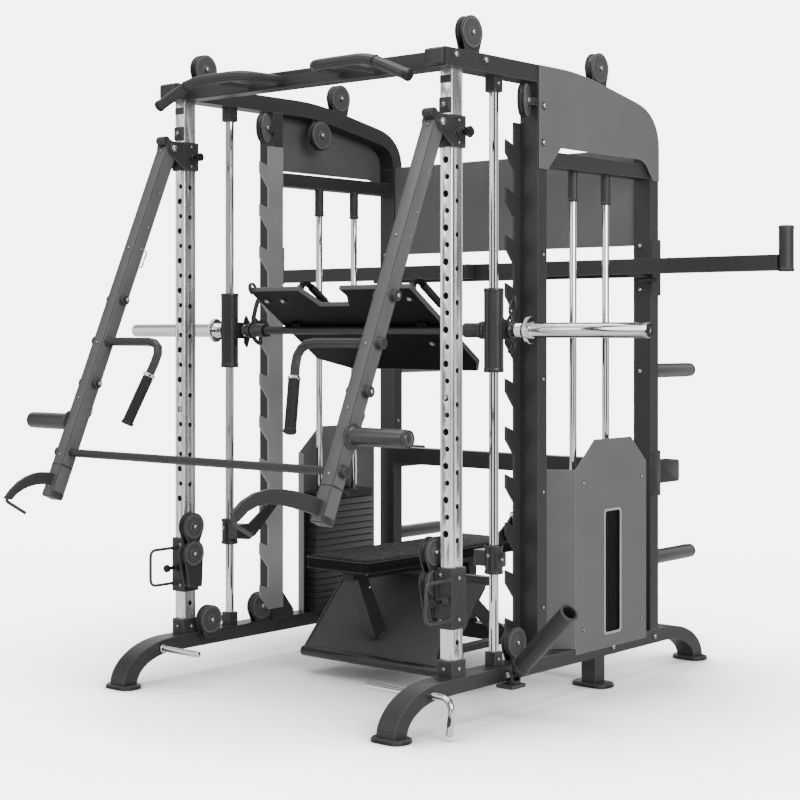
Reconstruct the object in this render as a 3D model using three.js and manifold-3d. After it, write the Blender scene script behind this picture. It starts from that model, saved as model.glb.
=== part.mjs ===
// Functional trainer with a guided smith bar, lever arms and two weight stacks.
// Millimetres, +Z up, +X to the user's right, +Y towards the rear of the machine.
// Built with Y = 0 on the front faces of the front uprights, then centred on its footprint.
import * as THREE from 'three';
import { mergeVertices } from 'three/addons/utils/BufferGeometryUtils.js';
import Module from 'manifold-3d';

const wasm = await Module();
wasm.setup();

// ---------- driving dimensions ----------
const SIDE = 631;                       // centre plane of each side frame
const GAP = 0.3;                        // gap between neighbouring pieces
const FRONT = { w: 50, d: 60 };         // front upright tube, front face at Y = 0
const MID = { w: 75, y0: 458, y1: 511 };
const REAR = { w: 75, y0: 1181, y1: 1235 };
const RAIL = { w: 75, z0: 108, z1: 158, front: -301, rear: 1559 };
const BEAM = { w: 75, z0: 2130, z1: 2190, front: -45 };
const ROD = { r: 16, y: 258 };
const BAR = { r: 14, y: 298, z: 1281, half: 1213 };
const GUIDE = { r: 12.5, x: 617, ys: [745, 955] };
const PIVOT = { y: -58, z: 1948 };      // lever arm hinge
const ARM = { w: 50, d: 52, length: 1351, lean: 23.2 };
const TOOTH = { pitch: 163.5, first: 1934, count: 11, tip: 377, root: 424 };
const HOLE = { front: 11.5, side: 9.5, pitch: 110, depth: 16, lock: 405, collar: 1920 };
const SEAT = { w: 304, y0: 163, y1: 1072, z0: 424, z1: 478 };
const STACK = { y0: 676, y1: 1021, x0: 572, x1: 652, z0: 160, plates: 17, pitch: 26 };
const PANEL_X = 669.2;                  // inner face of the outer sheet covers
const PANEL_T = 3;
const SIDE_BAR = { x0: 165, x1: 1218, y0: 1124, y1: 1180, z0: 1492, z1: 1548 };
const LANDMINE = { x: 702, y: 272, z: 136, length: 370, lift: 41, yaw: -14 };
const WHEEL = { w: 22, plate: 3.6 };      // grooved wheels, side plates of their forks
const SLEEVE = { wall: 6, clear: 0.5 };   // square sleeves that slide on the front uprights

// ---------- materials ----------
function paint(color, roughness, metalness) {
  return new THREE.MeshStandardMaterial({ color, roughness, metalness });
}

const mat = {
  frame: paint(0x3b3b3c, 0.5, 0.4),
  panel: paint(0x6b6b6c, 0.55, 0.3),
  brushed: paint(0xc4c4c4, 0.35, 0.9),
  chrome: paint(0xdadada, 0.12, 1),
  black: paint(0x161616, 0.6, 0.1),
  leather: paint(0x2a2a2b, 0.6, 0),
  cast: paint(0x1d1d1d, 0.6, 0.3),
};

// ---------- solids ----------
const X = new THREE.Vector3(1, 0, 0);
const Y = new THREE.Vector3(0, 1, 0);
const Z = new THREE.Vector3(0, 0, 1);

function solid(geometry) {
  const bare = geometry.index ? geometry.toNonIndexed() : geometry.clone();
  bare.deleteAttribute('normal');
  bare.deleteAttribute('uv');
  const merged = mergeVertices(bare, 1e-3);
  return new wasm.Manifold(new wasm.Mesh({
    numProp: 3,
    vertProperties: new Float32Array(merged.attributes.position.array),
    triVerts: new Uint32Array(merged.index.array),
  }));
}

function join(...solids) {
  return solids.reduce((sum, next) => sum.add(next));
}

function cut(body, ...tools) {
  return tools.reduce((rest, tool) => rest.subtract(tool), body);
}

function toGeometry(manifold, mirrored) {
  const mesh = manifold.getMesh();
  const positions = new Float32Array(mesh.numVert * 3);
  for (let i = 0; i < mesh.numVert; i++) {
    for (let k = 0; k < 3; k++) positions[3 * i + k] = mesh.vertProperties[mesh.numProp * i + k];
    if (mirrored) positions[3 * i] *= -1;
  }
  const index = Array.from(mesh.triVerts);
  if (mirrored) {
    for (let i = 0; i < index.length; i += 3) [index[i], index[i + 1]] = [index[i + 1], index[i]];
  }
  const geometry = new THREE.BufferGeometry();
  geometry.setAttribute('position', new THREE.BufferAttribute(positions, 3));
  geometry.setIndex(index);
  geometry.computeVertexNormals();
  return geometry;
}

// A box from its two corners.
function box(x0, x1, y0, y1, z0, z1) {
  const geometry = new THREE.BoxGeometry(x1 - x0, y1 - y0, z1 - z0);
  return solid(geometry.translate((x0 + x1) / 2, (y0 + y1) / 2, (z0 + z1) / 2));
}

// Round bars along each axis: radius, start, end, then the two fixed coordinates.
function rodZ(r, z0, z1, x, y, sides = 16) {
  const geometry = new THREE.CylinderGeometry(r, r, z1 - z0, sides).rotateX(Math.PI / 2);
  return solid(geometry.translate(x, y, (z0 + z1) / 2));
}

function rodX(r, x0, x1, y, z, sides = 16) {
  const geometry = new THREE.CylinderGeometry(r, r, x1 - x0, sides).rotateZ(Math.PI / 2);
  return solid(geometry.translate((x0 + x1) / 2, y, z));
}

function rodY(r, y0, y1, x, z, sides = 16) {
  const geometry = new THREE.CylinderGeometry(r, r, y1 - y0, sides);
  return solid(geometry.translate(x, (y0 + y1) / 2, z));
}

// Extruded outlines: sheetX takes (Y, Z) points, sheetY takes (X, Z), sheetZ takes (X, Y).
function extrude(shape, depth, curveSegments) {
  return new THREE.ExtrudeGeometry(shape, { depth, bevelEnabled: false, curveSegments });
}

function sheetX(shape, x0, x1, curveSegments = 6) {
  const basis = new THREE.Matrix4().makeBasis(Y, Z, X);
  return solid(extrude(shape, x1 - x0, curveSegments).applyMatrix4(basis).translate(x0, 0, 0));
}

function sheetY(shape, y0, y1, curveSegments = 6) {
  const basis = new THREE.Matrix4().makeBasis(X, Z, Y.clone().negate());
  return solid(extrude(shape, y1 - y0, curveSegments).applyMatrix4(basis).translate(0, y1, 0));
}

function sheetZ(shape, z0, z1, curveSegments = 6) {
  return solid(extrude(shape, z1 - z0, curveSegments).translate(0, 0, z0));
}

function polygon(points) {
  return new THREE.Shape(points.map(([u, v]) => new THREE.Vector2(u, v)));
}

// A rectangle with cut-off corners.
function chamfered(u0, u1, v0, v1, c) {
  return polygon([[u0 + c, v0], [u1 - c, v0], [u1, v0 + c], [u1, v1 - c], [u1 - c, v1], [u0 + c, v1],
    [u0, v1 - c], [u0, v0 + c]]);
}

// A path of straight runs joined by rounded corners.
function roundedPath(points, bend) {
  const path = new THREE.CurvePath();
  const at = points.map((p) => new THREE.Vector3(...p));
  let from = at[0];
  for (let i = 1; i < at.length - 1; i++) {
    const before = at[i].clone().add(at[i - 1].clone().sub(at[i]).setLength(bend));
    const after = at[i].clone().add(at[i + 1].clone().sub(at[i]).setLength(bend));
    path.add(new THREE.LineCurve3(from, before));
    path.add(new THREE.QuadraticBezierCurve3(before, at[i], after));
    from = after;
  }
  path.add(new THREE.LineCurve3(from, at[at.length - 1]));
  return path;
}

// A round pipe swept along such a path, one ring at each end of a run and four round a bend.
function pipe(points, r, bend, sides = 10) {
  const path = roundedPath(points, bend);
  const rings = [];
  path.curves.forEach((curve, i) => {
    const steps = curve.isQuadraticBezierCurve3 ? 4 : 1;
    for (let k = i === 0 ? 0 : 1; k <= steps; k++) {
      rings.push({ at: curve.getPoint(k / steps), dir: curve.getTangent(k / steps) });
    }
  });
  const vertices = [];
  let side = Math.abs(rings[0].dir.z) < 0.9 ? Z.clone() : X.clone();
  rings.forEach(({ at, dir }) => {
    side = side.clone().addScaledVector(dir, -side.dot(dir)).normalize();
    const up = dir.clone().cross(side);
    for (let k = 0; k < sides; k++) {
      const a = (2 * Math.PI * k) / sides;
      const point = at.clone().addScaledVector(side, r * Math.cos(a));
      vertices.push(point.addScaledVector(up, r * Math.sin(a)));
    }
  });
  const faces = [];
  for (let i = 0; i + 1 < rings.length; i++) {
    for (let k = 0; k < sides; k++) {
      const a = i * sides + k;
      const b = i * sides + (k + 1) % sides;
      faces.push(a, b, b + sides, a, b + sides, a + sides);
    }
  }
  const last = (rings.length - 1) * sides;
  for (let k = 1; k + 1 < sides; k++) {
    faces.push(0, k + 1, k);
    faces.push(last, last + k, last + k + 1);
  }
  const geometry = new THREE.BufferGeometry().setFromPoints(vertices);
  geometry.setIndex(faces);
  return solid(geometry);
}

// ---------- scene graph ----------
const root = new THREE.Group();

function put(name, manifold, material, { parent = root, mirrored = false } = {}) {
  const mesh = new THREE.Mesh(toGeometry(manifold, mirrored), material);
  mesh.name = name;
  parent.add(mesh);
  return mesh;
}

// Makes a right-hand piece and its mirror image; build receives 'right' or 'left'.
function pair(name, build, material) {
  put(`right_${name}`, build('right'), material);
  put(`left_${name}`, build('left'), material, { mirrored: true });
}

const halfRail = RAIL.w / 2;
const inner = SIDE - halfRail;
const outer = SIDE + halfRail;

// A fork or carrier plate for a wheel: a disc with a straight-sided foot down to a base line.
function teardrop(y, z, r, footY0, footY1, footZ) {
  const shape = new THREE.Shape();
  const down = footZ < z;
  const a0 = down ? Math.PI * 1.15 : Math.PI * 0.85;
  const a1 = down ? -Math.PI * 0.15 : Math.PI * 0.15;
  shape.absarc(y, z, r, a0, a1, down);
  shape.lineTo(footY1, footZ);
  shape.lineTo(footY0, footZ);
  return shape;
}

function fork(x, y, z, r, footY0, footY1, footZ) {
  const half = WHEEL.w / 2 + 0.6;
  const shape = teardrop(y, z, r, footY0, footY1, footZ);
  const hub = rodX(7, x - half - 1, x + half + 1, y, z, 8);
  const plates = [x - half - WHEEL.plate, x + half].map((x0) => sheetX(shape, x0, x0 + WHEEL.plate, 7));
  return join(hub, ...plates);
}

// A grooved wheel on its own axle bore, axis along X.
function wheel(x, y, z, r) {
  const h = WHEEL.w / 2;
  const profile = [[7.4, -h], [r, -h], [r - 8, 0], [r, h], [7.4, h], [7.4, -h]];
  const points = profile.map(([a, b]) => new THREE.Vector2(a, b));
  const geometry = new THREE.LatheGeometry(points, 20).rotateZ(-Math.PI / 2);
  return solid(geometry.translate(x, y, z));
}

// ---------- base ----------
const FOOT = { w: 120, d: 86, t: 12 };
const MID_FOOT = { w: 140, d: 90, y: 851 };
const SOCKET = { half: 21, z: 205 };
const ARCH = { front: -60, rear: 1290, z: 10, foot: 62 };

function railOutline() {
  const s = new THREE.Shape();
  const top = RAIL.z1 - ARCH.z;
  const bottom = RAIL.z0 - ARCH.z;
  const quarter = Math.PI / 2;
  const reachFront = ARCH.front - RAIL.front;
  const reachRear = RAIL.rear - ARCH.rear;
  s.absellipse(ARCH.front, ARCH.z, reachFront, top, Math.PI, quarter, true);
  s.absellipse(ARCH.rear, ARCH.z, reachRear, top, quarter, 0, true);
  s.absellipse(ARCH.rear, ARCH.z, reachRear - ARCH.foot, bottom, 0, quarter, false);
  s.absellipse(ARCH.front, ARCH.z, reachFront - ARCH.foot, bottom, quarter, Math.PI, false);
  return s;
}

function footPlate(y, w, d) {
  return sheetZ(chamfered(SIDE - w / 2, SIDE + w / 2, y - d / 2, y + d / 2, 14), 0, FOOT.t);
}

const BOTTOM_FRONT = { x: 574, y: 95, z: 206, r: 50 };
const BOTTOM_REAR = { x: 611, y: 398, z: 216, r: 50 };

pair('base_rail', (side) => {
  const near = ROD.y - SOCKET.half;
  const far = ROD.y + SOCKET.half;
  let rail = join(
    sheetX(railOutline(), inner, outer, 8),
    footPlate(RAIL.front + ARCH.foot / 2, FOOT.w, FOOT.d),
    footPlate(RAIL.rear - ARCH.foot / 2, FOOT.w, FOOT.d),
    footPlate(MID_FOOT.y, MID_FOOT.w, MID_FOOT.d),
    box(SIDE - 30, SIDE + 30, MID_FOOT.y - 30, MID_FOOT.y + 30, FOOT.t - 1, RAIL.z0 + 1),
    // saddle round the foot of the front upright
    box(SIDE - 31, SIDE + 31, -6, 66, RAIL.z1 - 1, 212),
    // socket of the smith guide rod
    box(SIDE - SOCKET.half, SIDE + SOCKET.half, near, far, RAIL.z1 - 1, SOCKET.z),
    // two low pulleys: one beside the rail, one on top of it
    fork(BOTTOM_FRONT.x, BOTTOM_FRONT.y, BOTTOM_FRONT.z, 53, 65, 125, 140),
    box(BOTTOM_FRONT.x - 15, inner + 1, 70, 120, 138, 152),
    fork(BOTTOM_REAR.x, BOTTOM_REAR.y, BOTTOM_REAR.z, 53, 368, 428, RAIL.z1 - 1),
    rodX(BOTTOM_FRONT.r, BOTTOM_FRONT.x - 8, BOTTOM_FRONT.x + 8, BOTTOM_FRONT.y, BOTTOM_FRONT.z, 16),
    rodX(BOTTOM_REAR.r, BOTTOM_REAR.x - 8, BOTTOM_REAR.x + 8, BOTTOM_REAR.y, BOTTOM_REAR.z, 16),
    // band peg that points at the middle of the machine
    rodX(10, 402, inner + 4, side === 'right' ? -132 : -118, 124, 12),
  );
  rail = cut(
    rail,
    box(SIDE - FRONT.w / 2 - GAP, SIDE + FRONT.w / 2 + GAP, -GAP, FRONT.d + GAP, RAIL.z1, 220),
    rodZ(ROD.r + GAP, RAIL.z1, 210, SIDE, ROD.y),
  );
  if (side === 'right') {
    // chrome storage hook for a short bar, and the welded dish of the landmine
    const hook = pipe([[outer - 4, -132, 128], [764, -132, 128], [764, -150, 16]], 10, 38, 10);
    const lug = box(outer - 1, 735, 222, 296, 96, 108);
    rail = join(rail, hook, lug, rodZ(9, 100, 119, LANDMINE.x, LANDMINE.y, 12));
  }
  return rail;
}, mat.frame);

// ---------- uprights ----------
pair('front_upright', (side) => {
  const half = FRONT.w / 2;
  const drill = (z, r) => rodY(r, -1, HOLE.depth, SIDE, z, 6);
  const drillSide = (z, x) => rodX(HOLE.side, x, x + HOLE.depth, FRONT.d / 2, z, 6);
  const upright = join(
    box(SIDE - half, SIDE + half, 0, FRONT.d, RAIL.z1 + GAP, BEAM.z0 - GAP),
    box(SIDE - half, SIDE + half, -5, 1, 1984, 2034),
  );
  const tools = [drill(HOLE.lock, 8)];
  const first = side === 'right' ? 622 : 659;
  for (let z = first; z < 1860; z += HOLE.pitch) tools.push(drill(z, HOLE.front));
  const x = side === 'right' ? SIDE + half - HOLE.depth + 1 : SIDE - half - 1;
  for (let z = 270; z < 1930; z += HOLE.pitch) tools.push(drillSide(z, x));
  return cut(upright, ...tools);
}, mat.brushed);

const SWIVEL = { y: 396, z: 2063, r: 56, turn: 25, shift: 35 };

pair('mid_upright', (side) => {
  const sign = side === 'right' ? 1 : -1;
  const x = 620 + sign * SWIVEL.shift;
  const gusset = [[MID.y1 - 1, 159], [MID.y1 + 60, 159], [MID.y1 + 60, 185], [MID.y1 - 1, 260]];
  const disc = new THREE.CylinderGeometry(SWIVEL.r, SWIVEL.r, WHEEL.w, 20).rotateZ(Math.PI / 2);
  disc.rotateZ(THREE.MathUtils.degToRad(sign * SWIVEL.turn)).translate(x, SWIVEL.y, SWIVEL.z);
  return join(
    box(inner, outer, MID.y0, MID.y1, RAIL.z1 + GAP, BEAM.z0 - GAP),
    solid(disc),
    box(x - 9, x + 9, SWIVEL.y, MID.y0 + 1, SWIVEL.z - 12, SWIVEL.z + 12),
    sheetX(polygon(gusset), inner, inner + 8),
  );
}, mat.frame);

function notchOutline() {
  const points = [[505, 200], [505, 1995], [TOOTH.root, 1995]];
  for (let i = 0; i < TOOTH.count; i++) {
    const z = TOOTH.first - i * TOOTH.pitch;
    points.push([TOOTH.root, z - 18], [TOOTH.tip, z], [TOOTH.tip, z - 45], [TOOTH.root, z - 100]);
  }
  points.push([TOOTH.root, 200]);
  return polygon(points);
}

pair('notch_plate', () => sheetX(notchOutline(), inner - 7.3, inner - GAP), mat.frame);

const HORN = { r: 26, tip: 1528, zs: [1128, 422] };

pair('rear_upright', () => {
  const horns = HORN.zs.map((z) => rodY(HORN.r, REAR.y1 + 22, HORN.tip, SIDE, z, 16));
  const stubs = HORN.zs.map((z) => rodY(16, REAR.y1 - 1, REAR.y1 + 23, SIDE, z, 12));
  const start = REAR.y1 - 1;
  const cup = polygon([[start, 704], [1402, 704], [1402, 786], [1390, 786], [1390, 716], [start, 716]]);
  return join(
    box(inner, outer, REAR.y0, REAR.y1, RAIL.z1 + GAP, 1960 - GAP),
    ...horns,
    ...stubs,
    sheetX(cup, SIDE - 25, SIDE + 25),
    // keeper plate and ledge that carry the side bar
    box(outer - 1, outer + 5, 1186, 1244, 1412, 1622),
    box(SIDE - 30, SIDE + 30, 1128, REAR.y0 + 1, 1479, SIDE_BAR.z0 - GAP),
  );
}, mat.frame);

// ---------- top ----------
const TOP_FRONT = { y: 122, z: 2259, r: 56 };
const TOP_REAR = { y: 875, z: 2228, r: 56 };
const INNER_TOP = { x: 588, y: 718, z: 2061, r: 55 };

// The crown follows the beam, then sweeps down to the rear upright.
function crown(shape) {
  shape.bezierCurveTo(740, BEAM.z1, 880, 2158, 1080, 2122);
  shape.bezierCurveTo(1180, 2104, REAR.y1, 2050, REAR.y1, 1960);
}

function beamOutline() {
  const s = new THREE.Shape();
  s.moveTo(BEAM.front, BEAM.z0);
  s.lineTo(BEAM.front, BEAM.z1);
  s.lineTo(600, BEAM.z1);
  crown(s);
  s.lineTo(REAR.y0, 1960);
  s.bezierCurveTo(REAR.y0, 2030, 1140, 2052, 1066, 2064);
  s.bezierCurveTo(870, 2098, 730, BEAM.z0, 600, BEAM.z0);
  return s;
}

pair('top_beam', () => {
  const carrier = teardrop(INNER_TOP.y, INNER_TOP.z, 24, INNER_TOP.y - 28, INNER_TOP.y + 28, 2124);
  const beam = join(
    sheetX(beamOutline(), inner, outer, 8),
    fork(SIDE, TOP_FRONT.y, TOP_FRONT.z, TOP_FRONT.r, TOP_FRONT.y - 34, TOP_FRONT.y + 34, BEAM.z1 - 1),
    fork(SIDE, TOP_REAR.y, TOP_REAR.z, TOP_REAR.r, TOP_REAR.y - 34, TOP_REAR.y + 34, 2140),
    rodX(52, SIDE - 8, SIDE + 8, TOP_REAR.y, TOP_REAR.z, 16),
    box(SIDE - 21, SIDE + 21, ROD.y - 21, ROD.y + 21, 2080, BEAM.z0 + 1),
    sheetX(carrier, INNER_TOP.x + 13, INNER_TOP.x + 18),
    rodX(INNER_TOP.r, INNER_TOP.x - 11, INNER_TOP.x + 11, INNER_TOP.y, INNER_TOP.z, 16),
    rodX(8, INNER_TOP.x - 15, INNER_TOP.x + 14, INNER_TOP.y, INNER_TOP.z, 10),
  );
  return cut(beam, rodZ(ROD.r + GAP, 2079, 2126, SIDE, ROD.y));
}, mat.frame);

pair('side_cover', () => {
  const s = new THREE.Shape();
  s.moveTo(463, 1836);
  s.lineTo(463, BEAM.z1);
  s.lineTo(600, BEAM.z1);
  crown(s);
  s.lineTo(REAR.y1, 1841);
  s.lineTo(1195, 1841);
  s.lineTo(1154, 1886);
  s.quadraticCurveTo(1130, 1913, 1100, 1914);
  s.lineTo(592, 1914);
  s.lineTo(513, 1836);
  return sheetX(s, PANEL_X, PANEL_X + PANEL_T, 8);
}, mat.panel);

pair('smith_rod', () => rodZ(ROD.r, RAIL.z1 + GAP, 2125, SIDE, ROD.y, 20), mat.chrome);

pair('stack_frame', () => {
  const rods = GUIDE.ys.map((y) => rodZ(GUIDE.r, RAIL.z1 + GAP, 1850, GUIDE.x, y));
  const sleeves = GUIDE.ys.map((y) => rodZ(18, 1745, 1850, GUIDE.x, y));
  return join(box(SIDE - 30, SIDE + 30, MID.y1 + GAP, REAR.y0 - GAP, 1848, 1900), ...rods, ...sleeves);
}, mat.frame);

// ---------- weight stacks ----------
pair('shroud', () => {
  const s = new THREE.Shape();
  [[683, 138], [683, 790], [800, 891], [1040, 891], [1143, 796], [1143, 138]].forEach(([y, z], i) => {
    if (i === 0) s.moveTo(y, z);
    else s.lineTo(y, z);
  });
  s.holes.push(polygon([[867, 191], [966, 191], [966, 631], [867, 631]]));
  const out = PANEL_X + PANEL_T;
  const facet = polygon([[PANEL_X, 684], [out, 684], [out, 680], [584, 617], [584, 621]]);
  return join(sheetX(s, PANEL_X, out), sheetZ(facet, 160, 790));
}, mat.panel);

const STACK_TOP = STACK.z0 + STACK.plates * STACK.pitch;
const STEM_Y = (GUIDE.ys[0] + GUIDE.ys[1]) / 2;

// One block with a shadow groove between each plate and the next on its inner side.
pair('weight_stack', () => {
  const groove = 3;
  const edge = [];
  for (let i = 0; i < STACK.plates; i++) {
    const z0 = STACK.z0 + i * STACK.pitch;
    const z1 = z0 + STACK.pitch - groove;
    edge.push([STACK.x0, z0], [STACK.x0, z1]);
    if (i + 1 < STACK.plates) edge.push([STACK.x0 + 4, z1], [STACK.x0 + 4, z1 + groove]);
  }
  const top = edge[edge.length - 1][1];
  const block = sheetY(polygon([...edge, [STACK.x1, top], [STACK.x1, STACK.z0]]), STACK.y0, STACK.y1);
  const bores = GUIDE.ys.map((y) => rodZ(GUIDE.r + 1, STACK.z0 - 1, STACK_TOP + 1, GUIDE.x, y));
  return cut(block, ...bores, rodZ(10, STACK.z0 - 1, STACK_TOP + 1, GUIDE.x, STEM_Y, 12));
}, mat.cast);

pair('stack_top_plate', () => {
  const z0 = STACK_TOP + GAP;
  const plate = join(
    box(STACK.x0, STACK.x1, STACK.y0 + 2, STACK.y1 - 2, z0, z0 + 30),
    box(GUIDE.x - 13, GUIDE.x + 13, STEM_Y - 20, STEM_Y + 20, z0 + 29, z0 + 92),
    rodZ(8.5, 200, z0 + 1, GUIDE.x, STEM_Y, 12),
  );
  const bores = GUIDE.ys.map((y) => rodZ(GUIDE.r + 1, z0 - 1, z0 + 31, GUIDE.x, y));
  return cut(plate, ...bores);
}, mat.cast);

// ---------- smith carriage ----------
pair('bearing', () => {
  const housing = join(
    rodZ(33, 1140, 1422, SIDE, ROD.y, 20),
    box(SIDE - 33, SIDE + 33, ROD.y, 324, BAR.z - 28, BAR.z + 28),
  );
  return cut(housing, rodZ(ROD.r + GAP, 1139, 1423, SIDE, ROD.y, 20),
    rodX(BAR.r + GAP, SIDE - 34, SIDE + 34, BAR.y, BAR.z));
}, mat.black);

const HOOK_X = [577.6, 585.4];

function catchHook() {
  return polygon([[288, 1298], [340, 1322], [404, 1318], [424, 1296], [424, 1258], [408, 1258],
    [402, 1288], [352, 1290], [312, 1262]]);
}

const barPieces = [rodX(BAR.r, -700, 700, BAR.y, BAR.z)];
for (const s of [1, -1]) {
  const along = (r, a, b, sides) => {
    const ends = [s * a, s * b].sort((p, q) => p - q);
    return rodX(r, ends[0], ends[1], BAR.y, BAR.z, sides);
  };
  barPieces.push(
    along(23, 548, HOOK_X[1], 16),
    sheetX(catchHook(), s > 0 ? HOOK_X[0] : -HOOK_X[1], s > 0 ? HOOK_X[1] : -HOOK_X[0]),
    along(18, 668, 700, 16),
    along(21, 698, 746, 16),
    along(38, 745, 757, 20),
    along(25, 756, BAR.half, 16),
  );
}
put('smith_bar', join(...barPieces), mat.chrome);

const PRESS = { half: 381, length: 505, thick: 15, slope: 34.6, y: 118, z: 1424 };

{
  const w = PRESS.half;
  const l = PRESS.length;
  const s = polygon([[-w, 0], [-140, 0], [-104, 98], [34, 98], [68, 40], [60, 0], [w, 0],
    [w, l - 50], [w - 35, l], [130 - w, l], [-w, l - 65]]);
  const grab = (x, u0, u1) => pipe([[x, u0, 8], [x, u0, 62], [x, u1, 62], [x, u1, 8]], 12, 36, 8);
  // saddle blocks that sit on the smith bar
  const saddle = (x) => box(x - 20, x + 20, 196, 250, -12, 1);
  const alongSlope = Math.hypot(BAR.y - PRESS.y, BAR.z - PRESS.z);
  const slope = THREE.MathUtils.degToRad(PRESS.slope);
  const off = (BAR.y - PRESS.y) * Math.sin(slope) + (BAR.z - PRESS.z) * Math.cos(slope);
  const along = Math.sqrt(alongSlope ** 2 - off ** 2);
  const bore = rodX(BAR.r + GAP, -w - 1, w + 1, along, off, 20);
  const grabs = [grab(-158, 22, 200), grab(366, 22, 230)];
  const plate = join(sheetZ(s, 0, PRESS.thick), ...grabs, saddle(-300), saddle(300));
  const mesh = put('leg_press_plate', cut(plate, bore), mat.black);
  mesh.position.set(0, PRESS.y, PRESS.z);
  mesh.rotation.x = -slope;
}

pair('safety_stop', () => {
  const z0 = 467;
  const armShape = polygon([[232, 492], [300, 484], [336, 500], [452, 604], [470, 640],
    [452, 656], [418, 622], [300, 545], [232, 545]]);
  const stop = join(
    rodZ(30, z0, z0 + 95, SIDE, ROD.y, 20),
    box(568, SIDE - 20, 234, 288, 492, 545),
    sheetX(armShape, 566, 575),
  );
  return cut(stop, rodZ(ROD.r + GAP, z0 - 1, z0 + 96, SIDE, ROD.y, 20));
}, mat.black);

// ---------- lever arms ----------
const COLLAR = { z0: 1873, z1: 1976, cheek: 5 };
const armHalf = ARM.w / 2;

// A square sleeve round the front upright.
function sleeve(z0, z1) {
  const half = FRONT.w / 2;
  const out = SLEEVE.wall + SLEEVE.clear;
  const body = box(SIDE - half - out, SIDE + half + out, -out, FRONT.d + out, z0, z1);
  const clear = SLEEVE.clear;
  const hole = box(SIDE - half - clear, SIDE + half + clear, -clear, FRONT.d + clear, z0 - 1, z1 + 1);
  return cut(body, hole);
}

pair('arm_collar', (side) => {
  const cheek = new THREE.Shape();
  cheek.moveTo(-4, COLLAR.z0 + 4);
  cheek.lineTo(PIVOT.y - 16, PIVOT.z - 20);
  cheek.absarc(PIVOT.y, PIVOT.z, 26, Math.PI * 1.22, Math.PI / 2, true);
  cheek.lineTo(-4, COLLAR.z1 - 2);
  const cheekX = [SIDE - armHalf - 1 - COLLAR.cheek, SIDE + armHalf + 1];
  const cheeks = cheekX.map((x) => sheetX(cheek, x, x + COLLAR.cheek));
  const pinX = side === 'right' ? SIDE + 26 : SIDE - 26 - 24;
  const body = join(
    sleeve(COLLAR.z0, COLLAR.z1),
    ...cheeks,
    rodX(9, SIDE - armHalf - 5, SIDE + armHalf + 5, PIVOT.y, PIVOT.z, 12),
    rodX(13, pinX, pinX + 24, FRONT.d / 2, HOLE.collar, 12),
  );
  const bore = side === 'right' ? [SIDE - 5, SIDE + 60] : [SIDE - 60, SIDE + 5];
  return cut(body, rodX(7 + GAP, bore[0], bore[1], FRONT.d / 2, HOLE.collar, 12));
}, mat.frame);

pair('collar_pin', (side) => {
  const s = side === 'right' ? 1 : -1;
  const at = (a, b) => [SIDE + s * a, SIDE + s * b].sort((p, q) => p - q);
  const shaft = at(FRONT.w / 2 + GAP, 70);
  const knob = at(64, 84);
  return join(
    rodX(7, shaft[0], shaft[1], FRONT.d / 2, HOLE.collar, 12),
    rodX(15, knob[0], knob[1], FRONT.d / 2, HOLE.collar, 16),
  );
}, mat.black);

// Each arm is built hanging straight down from its hinge, then leaned forward.
const ARM_AT = { handle: 769, horn: 1074, bar: 1187, bosses: [607, 927], hook: 1292 };
const BAR_R = 14;

// The right arm ends in a long shallow hook, the left arm in a short one.
function armHook(side) {
  const s = new THREE.Shape();
  if (side === 'right') {
    s.moveTo(0, 8);
    s.bezierCurveTo(-150, 62, -290, 90, -382, 2);
    s.lineTo(-374, -29);
    s.lineTo(-354, -22);
    s.bezierCurveTo(-280, 48, -170, 10, 0, -44);
  } else {
    s.moveTo(0, 20);
    s.bezierCurveTo(-60, 44, -150, 30, -212, -49);
    s.lineTo(-184, -55);
    s.bezierCurveTo(-140, -10, -60, 0, 0, -24);
  }
  return s;
}

const HOOK_ROD = {
  right: [[0, -366, -14], [0, -366, -34], [0, -304, -68]],
  left: [[0, -200, -44], [0, -200, -60], [0, -124, -105]],
};

pair('lever_arm', (side) => {
  const lean = THREE.MathUtils.degToRad(ARM.lean);
  const grip = [
    [-armHalf + 6, 0, -ARM_AT.handle],
    [-(SIDE - 314), 0, -ARM_AT.handle],
    [-(SIDE - 384), 12, -ARM_AT.handle - 298],
  ];
  const hook = sheetX(armHook(side), -6, 6, 7);
  const tipRod = pipe(HOOK_ROD[side], 6, 6, 8);
  // the hook leaves the arm square to the floor, so it is turned back by the lean
  const hooked = toGeometry(join(hook, tipRod), false).rotateX(lean).translate(0, -14, -ARM_AT.hook);
  const bosses = ARM_AT.bosses.map((d) => rodX(15, -armHalf - 16, armHalf + 20, 4, -d, 10));
  const arm = join(
    box(-armHalf, armHalf, -ARM.d / 2, ARM.d / 2, -ARM.length, 26),
    pipe(grip, 15.5, 80, 10),
    rodX(28, armHalf - 2, armHalf + 222, 0, -ARM_AT.horn, 16),
    rodX(16, armHalf - 2, armHalf + 24, 0, -ARM_AT.handle, 10),
    rodX(16, armHalf - 2, armHalf + 22, 0, -ARM_AT.bar, 10),
    rodX(17, -armHalf + 4, armHalf - 4, -ARM.d / 2 - 6, 16, 10),
    ...bosses,
    solid(hooked),
  );
  return cut(arm, rodX(9.6, -armHalf - 1, armHalf + 1, 0, 0, 12));
}, mat.frame);

for (const [side, s] of [['right', 1], ['left', -1]]) {
  const arm = root.getObjectByName(`${side}_lever_arm`);
  arm.position.set(s * SIDE, PIVOT.y, PIVOT.z);
  arm.rotation.x = -THREE.MathUtils.degToRad(ARM.lean);
}

{
  const lean = THREE.MathUtils.degToRad(ARM.lean);
  const y = PIVOT.y - ARM_AT.bar * Math.sin(lean);
  const z = PIVOT.z - ARM_AT.bar * Math.cos(lean);
  put('arm_cross_bar', rodX(BAR_R, -SIDE + armHalf + GAP, SIDE - armHalf - GAP, y, z), mat.frame);
}

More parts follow.
